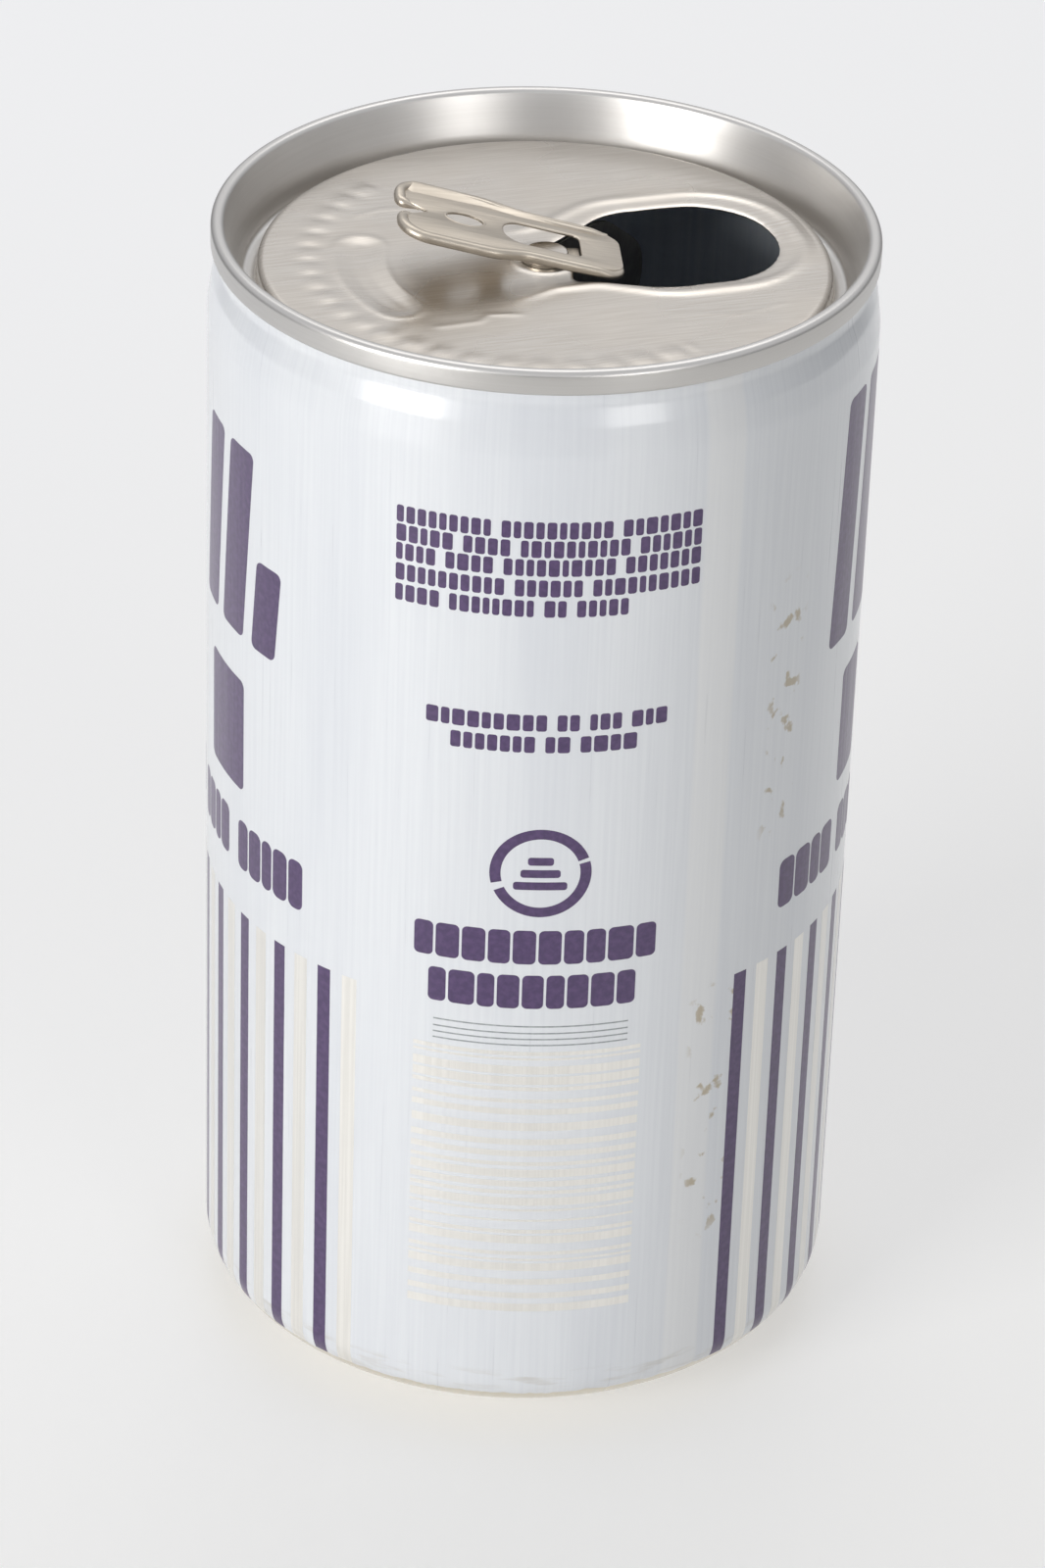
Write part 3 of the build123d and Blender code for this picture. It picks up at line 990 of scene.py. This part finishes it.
@dataclass
class Lid:
    """Pressed lid with its double seam, groove, torn mouth, beads and finger well."""

    panel_top: float = 118.2
    stock: float = 0.28
    seam_top: float = 122.2
    seam_radius: float = 32.70
    chuck_radius: float = 31.46
    seam_bottom: float = 119.72
    fold_outer: float = 31.96
    fold_inner: float = 31.74
    fold_top: float = 121.7
    dash_radius: float = 23.2
    coin_radius: float = 3.3
    well_radius: float = 18.2
    well_half_deg: float = 22.0
    well_depth: float = 0.16
    blend_radius: float = 27.2
    middle: tuple[float, float] = (12.0, 0.0)
    around: int = 440
    panel_rows: int = 118
    under_rows: int = 16

    def mouth_outline(self) -> np.ndarray:
        """Plan outline of the torn mouth, the same corners and radii as the solid's.

        Returns:
            (n, 2) closed outline.
        """
        corners = np.array([(1.3, -5.2), (9.8, -8.75), (23.6, -8.75), (23.6, 8.75), (8.8, 8.75),
                            (1.3, 3.2), (2.4, 0.0)])
        return rounded_path(corners, [1.0, 12.0, 8.3, 8.3, 7.0, 1.0, 6.0], 16, closed=True)

    def plan(self) -> tuple[np.ndarray, np.ndarray]:
        """Rays from a point inside the mouth: where each crosses the outline and the panel's edge.

        The outline is turned into radius over angle about that point, and the circle's crossing is
        the root of |m + t d| = R.

        Returns:
            (n, 2) outline points and (n, 2) circle points.
        """
        middle = np.array(self.middle)
        outline = thinned_runs(np.vstack([self.mouth_outline(), self.mouth_outline()[:1]]), 0.15)
        rel = outline - middle
        angle = np.arctan2(rel[:, 1], rel[:, 0])
        order = np.argsort(angle)
        angle, reach = angle[order], np.hypot(rel[:, 0], rel[:, 1])[order]
        phi = -math.pi + 2 * math.pi * np.arange(self.around) / self.around
        radius = np.interp(phi, angle, reach, period=2 * math.pi)
        ragged = 0.035 * waves(phi * 9.0, phi * 0.0, 2.6, 3)
        ragged = ragged + 0.02 * waves(phi * 9, phi * 0, 0.7, 5)
        ray = np.stack([np.cos(phi), np.sin(phi)], axis=1)
        along = ray @ middle
        far = -along + np.sqrt(along ** 2 + self.blend_radius ** 2 - middle @ middle)
        return middle + ray * (radius + ragged)[:, None], middle + ray * far[:, None]

    def ridge(self, xy: np.ndarray, path: np.ndarray, height: float, half: float,
              fade: float = 0.0) -> np.ndarray:
        """Rounded bead along a plan path: height exp(-(d / half)^2), faded at both ends.

        Args:
            xy: (n, 2) points.
            path: (m, 2) centre line.
            height: crest height in mm.
            half: width scale in mm.
            fade: share of the path over which each end fades.

        Returns:
            (n,) heights.
        """
        d, where = segment_distance(xy, path)
        level = height * np.exp(-(d / half) ** 2)
        if fade > 0:
            level *= smooth_step(0.0, fade, where) * smooth_step(0.0, fade, 1.0 - where)
        return level

    def relief(self, xy: np.ndarray) -> np.ndarray:
        """Height of the panel over its flat, in mm.

        Sum of the bead round the mouth, the pressed lines, a ring of plain dashes, the coined ring
        at the rivet and slow waves, less the kidney-shaped finger well and the mouth's turned edge.

        Args:
            xy: (n, 2) points.

        Returns:
            (n,) heights.
        """
        x, y = xy[:, 0], xy[:, 1]
        r = np.hypot(x, y)
        bead = resampled(rounded_path(np.array([
            (-7.0, -9.3), (-4.6, -8.0), (-1.0, -6.6), (3.4, -6.6), (9.5, -10.3), (25.9, -10.5),
            (26.0, 11.3), (8.0, 11.3), (1.0, 6.9), (-5.0, 6.6)]),
            [1.5, 3.0, 3.0, 9.0, 9.4, 9.4, 8.0, 5.0], 12), 0.6)
        level = self.ridge(xy, bead, 0.17, 0.80, 0.09)
        for path, height in (
                ([(-15.5, -12.0), (-10.2, -11.8), (-9.0, -10.6), (-5.0, -11.4)], 0.06),
                ([(-16.0, 13.5), (-12.5, 14.6), (-9.0, 14.0)], 0.06),
                ([(9.5, -14.6), (14.5, -16.2), (20.5, -14.6)], 0.02)):
            level += self.ridge(xy, resampled(np.array(path, float), 0.5), height, 0.40, 0.15)
        angle = np.degrees(np.arctan2(y, x))
        turn = np.mod(angle, 360.0)
        dash = smooth_step(0.05, 0.32, np.mod(turn, 8.0) / 8.0)
        dash *= smooth_step(0.0, 0.27, 0.95 - np.mod(turn, 8.0) / 8.0)
        arc = smooth_step(118.0, 121.0, turn) * smooth_step(0.0, 3.0, 292.0 - turn)
        level += 0.11 * dash * arc * np.exp(-((r - self.dash_radius) / 1.25) ** 2)
        level += 0.10 * np.exp(-((r - self.coin_radius) / 0.45) ** 2)
        level += 0.007 * waves(x, y, 19.0, 11) + 0.0006 * waves(x, y, 6.0, 12)
        away = np.abs(np.mod(angle, 360.0) - 180.0)
        across = np.abs(r - self.well_radius)
        tip = math.radians(self.well_half_deg)
        ends = np.array([[-self.well_radius * math.cos(tip), s * self.well_radius * math.sin(tip)]
                         for s in (1, -1)])
        end_gap = np.minimum(np.hypot(x - ends[0, 0], y - ends[0, 1]),
                             np.hypot(x - ends[1, 0], y - ends[1, 1]))
        well = np.where(away < self.well_half_deg, across, end_gap)
        level -= self.well_depth * (1.0 - smooth_step(0.5, 2.1, well))
        level += 0.08 * np.exp(-((well - 2.45) / 0.4) ** 2)
        return level

    def build(self, finish: Finish) -> bpy.types.Object:
        """Make the lid as one ring-shaped shell, closed from the torn edge round and back to it.

        The panel's points are (1 - t) outline + t circle. Beyond the circle a section of radius and
        height is turned about Z, and the underside returns one sheet thickness lower.

        Args:
            finish: lid finish.

        Returns:
            The lid's object.
        """
        outline, circle = self.plan()
        t = np.linspace(0.0, 1.0, self.panel_rows)[:, None, None]
        plan = outline[None] * (1 - t) + circle[None] * t
        xy = plan.reshape(-1, 2)
        level = self.relief(xy).reshape(plan.shape[:2]) * (1.0 - smooth_step(0.9, 1.0, t[..., 0]))
        from_edge = np.linalg.norm(plan - outline[None], axis=2)
        coined = level - 0.16 * np.exp(-from_edge / 0.35)
        top = np.concatenate([plan, (self.panel_top + coined)[..., None]], axis=2)
        keep = np.linspace(self.panel_rows - 1, 0, self.under_rows).astype(int)
        below = self.panel_top - self.stock + np.maximum(level, 0.0)
        under = np.concatenate([plan, below[..., None]], axis=2)[keep]
        groove = self.seam_top - 6.35
        corners = np.array([
            (self.blend_radius, self.panel_top), (28.1, self.panel_top), (28.25, groove),
            (29.75, groove), (self.chuck_radius, self.seam_top), (self.seam_radius, self.seam_top),
            (self.seam_radius, self.seam_bottom), (self.fold_outer, self.seam_bottom),
            (self.fold_outer, self.fold_top), (self.fold_inner, self.fold_top),
            (self.fold_inner, 119.8), (30.02, groove - self.stock), (27.98, groove - self.stock),
            (27.84, self.panel_top - self.stock),
            (self.blend_radius, self.panel_top - self.stock)])
        shown = rounded_path(corners[:8], [0.75, 0.7, 0.7, 0.61, 0.61, 0.36], 10)
        folded = rounded_path(corners[7:], [0.05, 0.05, 1.5, 0.9, 0.9, 0.4], 3)
        section = np.vstack([shown, folded[1:]])
        section = thinned_runs(section, 1.6)[1:-1]
        angle = np.arctan2(circle[:, 1], circle[:, 0])
        rim = np.stack([section[:, :1] * np.cos(angle), section[:, :1] * np.sin(angle),
                        section[:, 1:] + 0 * angle], axis=2)
        obj = closed_grid_object("lid_shell", np.concatenate([top, rim, under]), True, True, 38.0)
        obj.data.materials.append(finish.material)
        LOG.info("lid_shell: %d faces", len(obj.data.polygons))
        return obj


# ---------------------------------------------------------------- the tab


@dataclass
class PullTab:
    """Stay-on tab: curled rim, thin web with its window and finger hole, split heel."""

    island_top: float = 118.61
    island_stock: float = 0.36
    hinge_reach: float = 3.3
    tilt: float = 14.5
    swivel: float = -13.0
    web_low: float = 0.52
    web_high: float = 0.86

    def placed(self, flat: np.ndarray) -> np.ndarray:
        """Lift flat tab coordinates at the heel and swing them about the rivet.

        Args:
            flat: (..., 3) points: towards the nose, across, and height over the tongue's top.

        Returns:
            (..., 3) points in the row frame: turned by the tilt about the bend line, then by the
            swivel about Z.
        """
        x, y, z = flat[..., 0], flat[..., 1], flat[..., 2] + self.island_top
        px, pz = self.hinge_reach, self.island_top - self.island_stock / 2
        c, s = math.cos(math.radians(self.tilt)), math.sin(math.radians(self.tilt))
        dx, dz = x - px, z - pz
        u, w = px + dx * c + dz * s, pz - dx * s + dz * c
        k, q = math.cos(math.radians(self.swivel)), math.sin(math.radians(self.swivel))
        return np.stack([u * k - y * q, u * q + y * k, w], axis=-1)

    def rim_path(self) -> tuple[np.ndarray, np.ndarray]:
        """Centre line of the curled rim, from one side of the heel's split round to the other.

        Returns:
            (n, 2) points and (n,) share of the way along.
        """
        far = [(-13.1, 0.85), (-14.95, 1.7), (-15.05, 5.5), (-6.6, 5.2), (-2.4, 4.35), (6.95, 4.15)]
        near = [(6.95, -4.18), (-2.6, -4.3), (-5.8, -5.35), (-15.0, -5.5), (-14.95, -1.7),
                (-13.1, -0.85)]
        radii = [0.7, 2.3, 6.0, 6.0, 1.5, 1.5, 5.0, 5.0, 2.6, 0.7]
        path = resampled(rounded_path(np.array(far + near), radii, 10), 0.16)
        return path, np.linspace(0.0, 1.0, len(path))

    def rim(self) -> np.ndarray:
        """Curled rim: a rounded section that is broader at the heel and tapers at the split.

        Returns:
            (n, around, 3) grid in flat tab coordinates, capped at both ends.
        """
        path, share = self.rim_path()
        taper = 0.25 + 0.75 * smooth_step(0.0, 0.03, share) * smooth_step(0.0, 0.03, 1 - share)
        heel = smooth_step(2.0, 7.0, -path[:, 0])
        nose = smooth_step(4.6, 6.6, path[:, 0])
        far = smooth_step(1.0, 4.0, path[:, 1]) * (0.25 + 0.75 * heel) * (1.0 - nose)
        wide = (0.50 + 0.06 * heel) * taper
        near = smooth_step(1.0, 4.0, -path[:, 1]) * (1.0 - nose)
        high = (0.50 + 0.15 * far - 0.10 * nose + 0.04 * near) * taper
        lift = 0.47 + 0.09 * far - 0.05 * nose + 0.06 * near
        lift = lift + 0.02 * waves(share * 60, share * 0, 16.0, 9)
        return capped(tube_grid(path, wide, high, lift, False, 24, 0.85))

    def outline(self, inset: float) -> np.ndarray:
        """Plan outline of the web, with the heel's V split cut in.

        Args:
            inset: how far the edge lies inside the rim's outside, in mm.

        Returns:
            (n, 2) closed outline.
        """
        far = [(-12.4, 0.2), (-15.0 + inset, 1.5), (-15.6 + inset, 6.05 - inset),
               (-6.6, 5.75 - inset), (-2.4, 4.9 - inset), (7.5 - 0.4 * inset, 4.7 - inset)]
        near = [(7.5 - 0.4 * inset, inset - 4.3), (-2.6, inset - 4.4), (-5.8, inset - 5.4),
                (inset - 15.3, inset - 5.6), (inset - 15.0, -1.5), (-12.4, -0.2)]
        radii = [0.1, 0.3, 2.2, 6.0, 6.0, 1.6, 1.6, 5.0, 5.0, 2.2, 0.3, 0.1]
        return rounded_path(np.array(far + near), radii, 8, closed=True)

    def window_outline(self) -> np.ndarray:
        """Plan outline of the opening round the rivet, rounded towards the heel."""
        corners = np.array([(3.3, -2.5), (3.3, 2.5), (-4.9, 2.5), (-4.9, -2.5)])
        return rounded_path(corners, [1.0, 1.0, 2.3, 2.3], 12, closed=True)

    def hole_outline(self) -> np.ndarray:
        """Plan outline of the finger-side hole, 4 mm by 2.8 mm."""
        s = np.arange(40) * 2 * math.pi / 40
        return np.stack([-8.6 + 2.0 * np.cos(s), 0.2 + 1.4 * np.sin(s)], axis=1)

    def web(self, finish: Finish) -> bpy.types.Object:
        """Flat web with its openings, cut from outlines, given its thickness and then placed.

        Args:
            finish: tab finish.

        Returns:
            The web's object.
        """
        curve = bpy.data.curves.new("web_outline", "CURVE")
        curve.dimensions = "2D"
        curve.fill_mode = "BOTH"
        curve.extrude = (self.web_high - self.web_low) / 2 - 0.05
        curve.bevel_depth = 0.05
        curve.bevel_resolution = 2
        for outline in (self.outline(0.62), self.window_outline(), self.hole_outline()):
            spline = curve.splines.new("POLY")
            spline.points.add(len(outline) - 1)
            count = len(outline)
            flat = np.concatenate([outline, np.zeros((count, 1)), np.ones((count, 1))], axis=1)
            spline.points.foreach_set("co", flat.ravel())
            spline.use_cyclic_u = True
        holder = bpy.data.objects.new("web_outline", curve)
        mesh = bpy.data.meshes.new_from_object(holder)
        co = np.empty(3 * len(mesh.vertices))
        mesh.vertices.foreach_get("co", co)
        co = co.reshape(-1, 3)
        co[:, 2] += (self.web_high + self.web_low) / 2
        mesh.vertices.foreach_set("co", (self.placed(co) * MM).astype(np.float32).ravel())
        mesh.update()
        bpy.data.objects.remove(holder)
        bm = bmesh.new()
        bm.from_mesh(mesh)
        bmesh.ops.remove_doubles(bm, verts=bm.verts, dist=1e-7)
        bmesh.ops.recalc_face_normals(bm, faces=bm.faces)
        bm.to_mesh(mesh)
        bm.free()
        mesh.set_sharp_from_angle(angle=math.radians(30))
        mesh.name = "tab_web"
        obj = bpy.data.objects.new("tab_web", mesh)
        bpy.context.scene.collection.objects.link(obj)
        mesh.materials.clear()
        mesh.materials.append(finish.material)
        return obj

    def lip(self, name: str, outline: np.ndarray, half: float, lift: float,
            finish: Finish) -> bpy.types.Object:
        """Rolled lip round an opening of the web.

        Args:
            name: object name.
            outline: closed plan outline.
            half: half width of the lip in mm.
            lift: height of its middle in mm.
            finish: tab finish.

        Returns:
            The lip's object.
        """
        path = resampled(outline, 0.18, closed=True)
        ones = np.ones(len(path))
        grid = tube_grid(path, half * ones, 0.8 * half * ones, lift * ones, True, 12, 1.0)
        obj = closed_grid_object(name, self.placed(grid), True, True, 80.0)
        obj.data.materials.append(finish.material)
        return obj

    def flank(self, finish: Finish) -> bpy.types.Object:
        """Broad sloping band of the far curl, which climbs from the web over the rim's crest.

        Across its width, s from 0 to 1, its height is web + (crest - web) sin(1.25 s pi / 2),
        rounded down past the crest. The width and the crest shrink from the heel to the nose.

        Args:
            finish: tab finish.

        Returns:
            The flank's object.
        """
        t = np.linspace(-14.9, 6.2, 110)
        go = smooth_step(-15.0, 6.0, t)
        side = 5.94 - 0.85 * smooth_step(-7.0, -2.0, t)
        end = smooth_step(-14.9, -13.6, t) * smooth_step(-6.2, -3.0, -t)
        side = side - 0.75 * (1.0 - smooth_step(-14.9, -13.4, t)) - 0.5 * smooth_step(4.5, 6.2, t)
        crest = self.web_high + 0.03 + (0.36 - 0.24 * go) * end
        reach = 0.9 + (1.75 - 1.25 * go) * end
        s = np.linspace(0.0, 1.0, 15)
        w = side[:, None] - reach[:, None] * (1.0 - s)
        base = self.web_high - 0.04
        rise = np.sin(np.minimum(1.25 * s, 1.0) * math.pi / 2) ** 2
        n = base + (crest[:, None] - base) * rise - 0.30 * np.maximum((s - 0.78) / 0.22, 0.0) ** 2
        under = np.minimum(n - 0.10, base - 0.10)
        top = np.stack(np.broadcast_arrays(t[:, None], w, n), axis=2)
        low = np.stack(np.broadcast_arrays(t[:, None], w, under), axis=2)[:, ::-1]
        obj = closed_grid_object("tab_flank", self.placed(capped(np.concatenate([top, low], 1))),
                                 False, True, 50.0, merge=True)
        obj.data.materials.append(finish.material)
        return obj

    def bend(self, finish: Finish) -> bpy.types.Object:
        """Short curved strip that joins the web's window to the tongue at the bend line.

        Args:
            finish: tab finish.

        Returns:
            The strip's object.
        """
        s = np.linspace(0.0, 1.0, 10)
        along = self.hinge_reach + 0.10 + 0.70 * s
        height = -0.02 + 0.61 * smooth_step(0.0, 1.0, s)
        w = np.linspace(-1.45, 1.45, 6)
        half = 0.12
        top = np.stack(np.broadcast_arrays(along[:, None], w[None, :], height[:, None] + half),
                       axis=2)
        low = np.stack(np.broadcast_arrays(along[:, None], w[None, ::-1], height[:, None] - half),
                       axis=2)
        grid = capped(np.concatenate([top, low], axis=1))
        obj = closed_grid_object("tab_bend", self.placed(grid), False, True, 40.0, merge=True)
        obj.data.materials.append(finish.material)
        return obj

    def build(self, finish: Finish) -> list[bpy.types.Object]:
        """Make every piece of the tab.

        Args:
            finish: tab finish.

        Returns:
            The tab's objects, the rim first.
        """
        rim = closed_grid_object("tab_rim", self.placed(self.rim()), False, True, 70.0, merge=True)
        rim.data.materials.append(finish.material)
        pieces = [rim, self.web(finish), self.flank(finish), self.bend(finish)]
        pieces.append(self.lip("tab_window_lip", self.window_outline(), 0.17, 0.72, finish))
        pieces.append(self.lip("tab_hole_lip", self.hole_outline(), 0.17, 0.76, finish))
        LOG.info("tab: %d pieces", len(pieces))
        return pieces


# ---------------------------------------------------------------- the set


@dataclass
class Studio:
    """Pale floor, soft lamps and the camera."""

    world_level: float = 0.36
    seen_level: float = 0.86
    room_level: float = 0.42
    floor_glow: float = 0.42
    facing: float = -108.0
    lens: float = 130.4
    spot: tuple[float, float, float] = (-0.15580, -0.47787, 0.35847)
    aim: tuple[float, float, float] = (-0.000476, 0.000154, 0.05839)
    roll_deg: float = 1.96

    def floor(self) -> None:
        """Large flat pale sheet that the can stands on, with a painted light falloff across it and
        a painted dark reflection far out.
        """
        y = np.linspace(-2.0, 2.0, 9)
        x = np.linspace(-2.0, 2.0, 9)
        gx, gy = np.meshgrid(x, y, indexing="ij")
        grid = np.stack([gx, gy, np.full_like(gx, -0.00002)], axis=2) * 1000
        obj = mesh_object("floor", grid.reshape(-1, 3), grid_faces(9, 9, False, False))
        f = Finish("pale_acrylic_sheet")
        split = f.place()[1]
        # Painted light falloff: the colour runs from #e2e1dd to #f6f7f9 towards +y and -x, the side
        # away from the camera, standing in for how the lamps' light falls off.
        away = f.node("Math", {0: split.outputs[0], 1: -0.35, 2: split.outputs[1]},
                      operation="MULTIPLY_ADD")
        slope = f.node("MapRange", {"Value": away, "From Min": -0.25, "From Max": 0.45},
                       interpolation_type="SMOOTHSTEP")
        path = f.node("LightPath")
        seen = f.node("Math", {0: path.outputs["Is Camera Ray"], 1: path.outputs["Is Glossy Ray"]},
                      operation="MAXIMUM")
        seen = f.node("Math", {0: seen, 1: path.outputs["Is Transmission Ray"]},
                      operation="MAXIMUM")
        plan = f.node("CombineXYZ", {0: split.outputs[0], 1: split.outputs[1]})
        reach = f.node("VectorMath", {0: plan}, operation="LENGTH").outputs["Value"]
        # Painted dark reflection: from 0.4 to 0.6 m out the floor turns darker and glows less, for
        # glossy rays only, so the can's metal and varnish mirror a dark surround.
        painted_dark_reflection = f.node("MapRange", {"Value": reach, "From Min": 0.40, "From Max": 0.60})
        painted_dark_reflection = f.node("Math", {0: painted_dark_reflection, 1: path.outputs["Is Glossy Ray"]}, operation="MULTIPLY")
        painted_reflection_glow = f.node("MapRange", {"Value": painted_dark_reflection, "To Min": self.floor_glow,
                                         "To Max": 0.12 * self.floor_glow})
        glow = f.node("Math", {0: seen, 1: painted_reflection_glow}, operation="MULTIPLY")
        # Base colour with the painted light falloff and, for glossy rays far out, the painted dark
        # reflection.
        lit = f.layered("#e2e1dd", (slope, 1.0, "#f6f7f9"), (seen, 0.28, "#000000"),
                        (painted_dark_reflection, 0.6, "#000000"))
        f.shade(Base_Color=lit, Roughness=0.42, Specular_IOR_Level=0.35,
                Emission_Color=linear("#fbfbfc"), Emission_Strength=glow)
        obj.data.materials.append(f.material)

    def lamp(self, name: str, azimuth: float, elevation: float, distance: float, size: float,
             tall: float, power: float, colour: str) -> None:
        """Rectangular soft lamp aimed at the can.

        Args:
            name: lamp name.
            azimuth: direction in the row frame, in degrees from +X.
            elevation: height angle in degrees.
            distance: metres from the can.
            size: width in metres.
            tall: height in metres.
            power: watts.
            colour: sRGB hex.
        """
        data = bpy.data.lights.new(name, "AREA")
        data.shape = "RECTANGLE"
        data.size = size
        data.size_y = tall
        data.energy = power
        data.color = linear(colour)[:3]
        obj = bpy.data.objects.new(name, data)
        a, e = math.radians(azimuth), math.radians(elevation)
        aim = Vector((0.0, 0.0, 0.06))
        spot = aim + distance * Vector((math.cos(a) * math.cos(e), math.sin(a) * math.cos(e),
                                        math.sin(e)))
        obj.location = spot
        obj.rotation_euler = (aim - spot).to_track_quat("-Z", "Y").to_euler()
        bpy.context.scene.collection.objects.link(obj)

    def world(self) -> None:
        """Even pale surroundings."""
        world = bpy.data.worlds.new("studio")
        world.use_nodes = True
        tree = world.node_tree
        tree.nodes.clear()
        path = add_node(tree, "LightPath")
        sky = add_node(tree, "SeparateXYZ", {0: add_node(tree, "TexCoord").outputs["Generated"]})
        mirrored = add_node(tree, "MapRange", {
            "Value": sky.outputs[2], "From Min": 0.06, "From Max": 0.34,
            "To Min": self.room_level, "To Max": self.seen_level},
            interpolation_type="SMOOTHSTEP")
        level = add_node(tree, "MapRange", {"Value": path.outputs["Is Glossy Ray"],
                                            "To Min": self.world_level, "To Max": mirrored})
        level = add_node(tree, "MapRange", {"Value": path.outputs["Is Camera Ray"],
                                            "To Min": level, "To Max": 0.93})
        shade = add_node(tree, "Background", {"Color": linear("#f4f5f8"), "Strength": level})
        add_node(tree, "OutputWorld", {"Surface": shade})
        bpy.context.scene.world = world

    def camera(self) -> None:
        """Long-lens camera, 585 mm from the point it aims at and 31 degrees above it."""
        data = bpy.data.cameras.new("camera")
        data.sensor_fit = "VERTICAL"
        data.sensor_height = 36.0
        data.lens = self.lens
        data.clip_start = 0.01
        obj = bpy.data.objects.new("camera", data)
        spot, aim = Vector(self.spot), Vector(self.aim)
        ahead = (aim - spot).normalized()
        right = ahead.cross(Vector((0, 0, 1))).normalized()
        up = right.cross(ahead)
        roll = math.radians(self.roll_deg)
        turned = right * math.cos(roll) + up * math.sin(roll)
        risen = up * math.cos(roll) - right * math.sin(roll)
        basis = Matrix((turned, risen, -ahead)).transposed()
        obj.matrix_world = Matrix.Translation(spot) @ basis.to_4x4()
        bpy.context.scene.collection.objects.link(obj)
        bpy.context.scene.camera = obj

    def build(self) -> None:
        """Make the whole set."""
        self.world()
        self.floor()
        facing = self.facing
        self.lamp("left_softbox", facing - 45, 13, 1.0, 0.46, 0.50, 6.4, "#fffefc")
        self.lamp("right_softbox", facing + 31, 12, 1.1, 0.36, 0.40, 1.7, "#fffefc")
        self.lamp("rear_softbox", facing + 176, 60, 1.0, 0.85, 0.60, 2.3, "#fffefc")
        self.camera()
        bpy.context.scene.view_settings.view_transform = "Standard"


def carry(piece: bpy.types.Object, body: Body, slot: Slot, *nodes: str) -> None:
    """Tie a piece to a body, and hide the nodes that it stands for.

    Args:
        piece: the finished object.
        body: rigid body that it rides on.
        slot: material slot of the record; not used.
        *nodes: CAD nodes that it stands for, if any.
    """
    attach(piece, body.value)
    if nodes:
        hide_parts(*nodes)


def dress(node: str, finish: Finish) -> None:
    """Give a carried-over node its finish."""
    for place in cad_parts[node].material_slots:
        place.material = finish.material


def main() -> None:
    """Build the pieces in order and report each one."""
    logging.basicConfig(level=logging.INFO, format="%(name)s: %(message)s")
    coat, silver = printed_coat(), varnished_metal()
    ink = printing_ink("purple_printing_ink", "#433059", "#523d68")
    # Grey of the four thin lines above the ladder, laid with the same finish as the purple ink.
    grey = printing_ink("grey_hairline_finish", "#8b9193", "#a4a9ab")
    lid_finish = rolled_sheet("rolled_lid_aluminium", "#cdc6bd", "#d9d3cb", 0.25, True)
    tab_finish = rolled_sheet("rolled_tab_aluminium", "#b9b0a3", "#c6bdb0", 0.33, False)
    body = CanBody()
    carry(body.build(coat, lacquered_inside()), Body.CAN, Slot.PRINTED, "can_body")
    label = Label(body)
    purple_layer = PrintLayer(body, "purple_print")
    label.purple(purple_layer)
    carry(purple_layer.build(ink), Body.CAN, Slot.PRINTED)
    silver_layer = PrintLayer(body, "silver_windows", proud=0.010)
    label.silver(silver_layer)
    carry(silver_layer.build(silver), Body.CAN, Slot.PRINTED)
    hairline_layer = PrintLayer(body, "grey_hairlines", proud=0.010)
    label.hairlines(hairline_layer)
    carry(hairline_layer.build(grey), Body.CAN, Slot.PRINTED)
    carry(Lid().build(lid_finish), Body.CAN, Slot.LID, "end_shell")
    tab_pieces = PullTab().build(tab_finish)
    carry(tab_pieces[0], Body.TAB, Slot.TAB, "pull_tab")
    for piece in tab_pieces[1:]:
        carry(piece, Body.TAB, Slot.TAB)
    dress("rivet", lid_finish)
    dress("tab_island", tab_finish)
    # Painted shade: the flap is the lid's own sheet, given darker colours because it hangs in
    # shadow inside the mouth.
    dress("pour_panel", rolled_sheet("painted_shade_panel_aluminium", "#96928c", "#a3a09a", 0.35, False))
    dress("sealing_compound", sealing_rubber())
    Studio().build()


if __name__ == "__main__":
    main()
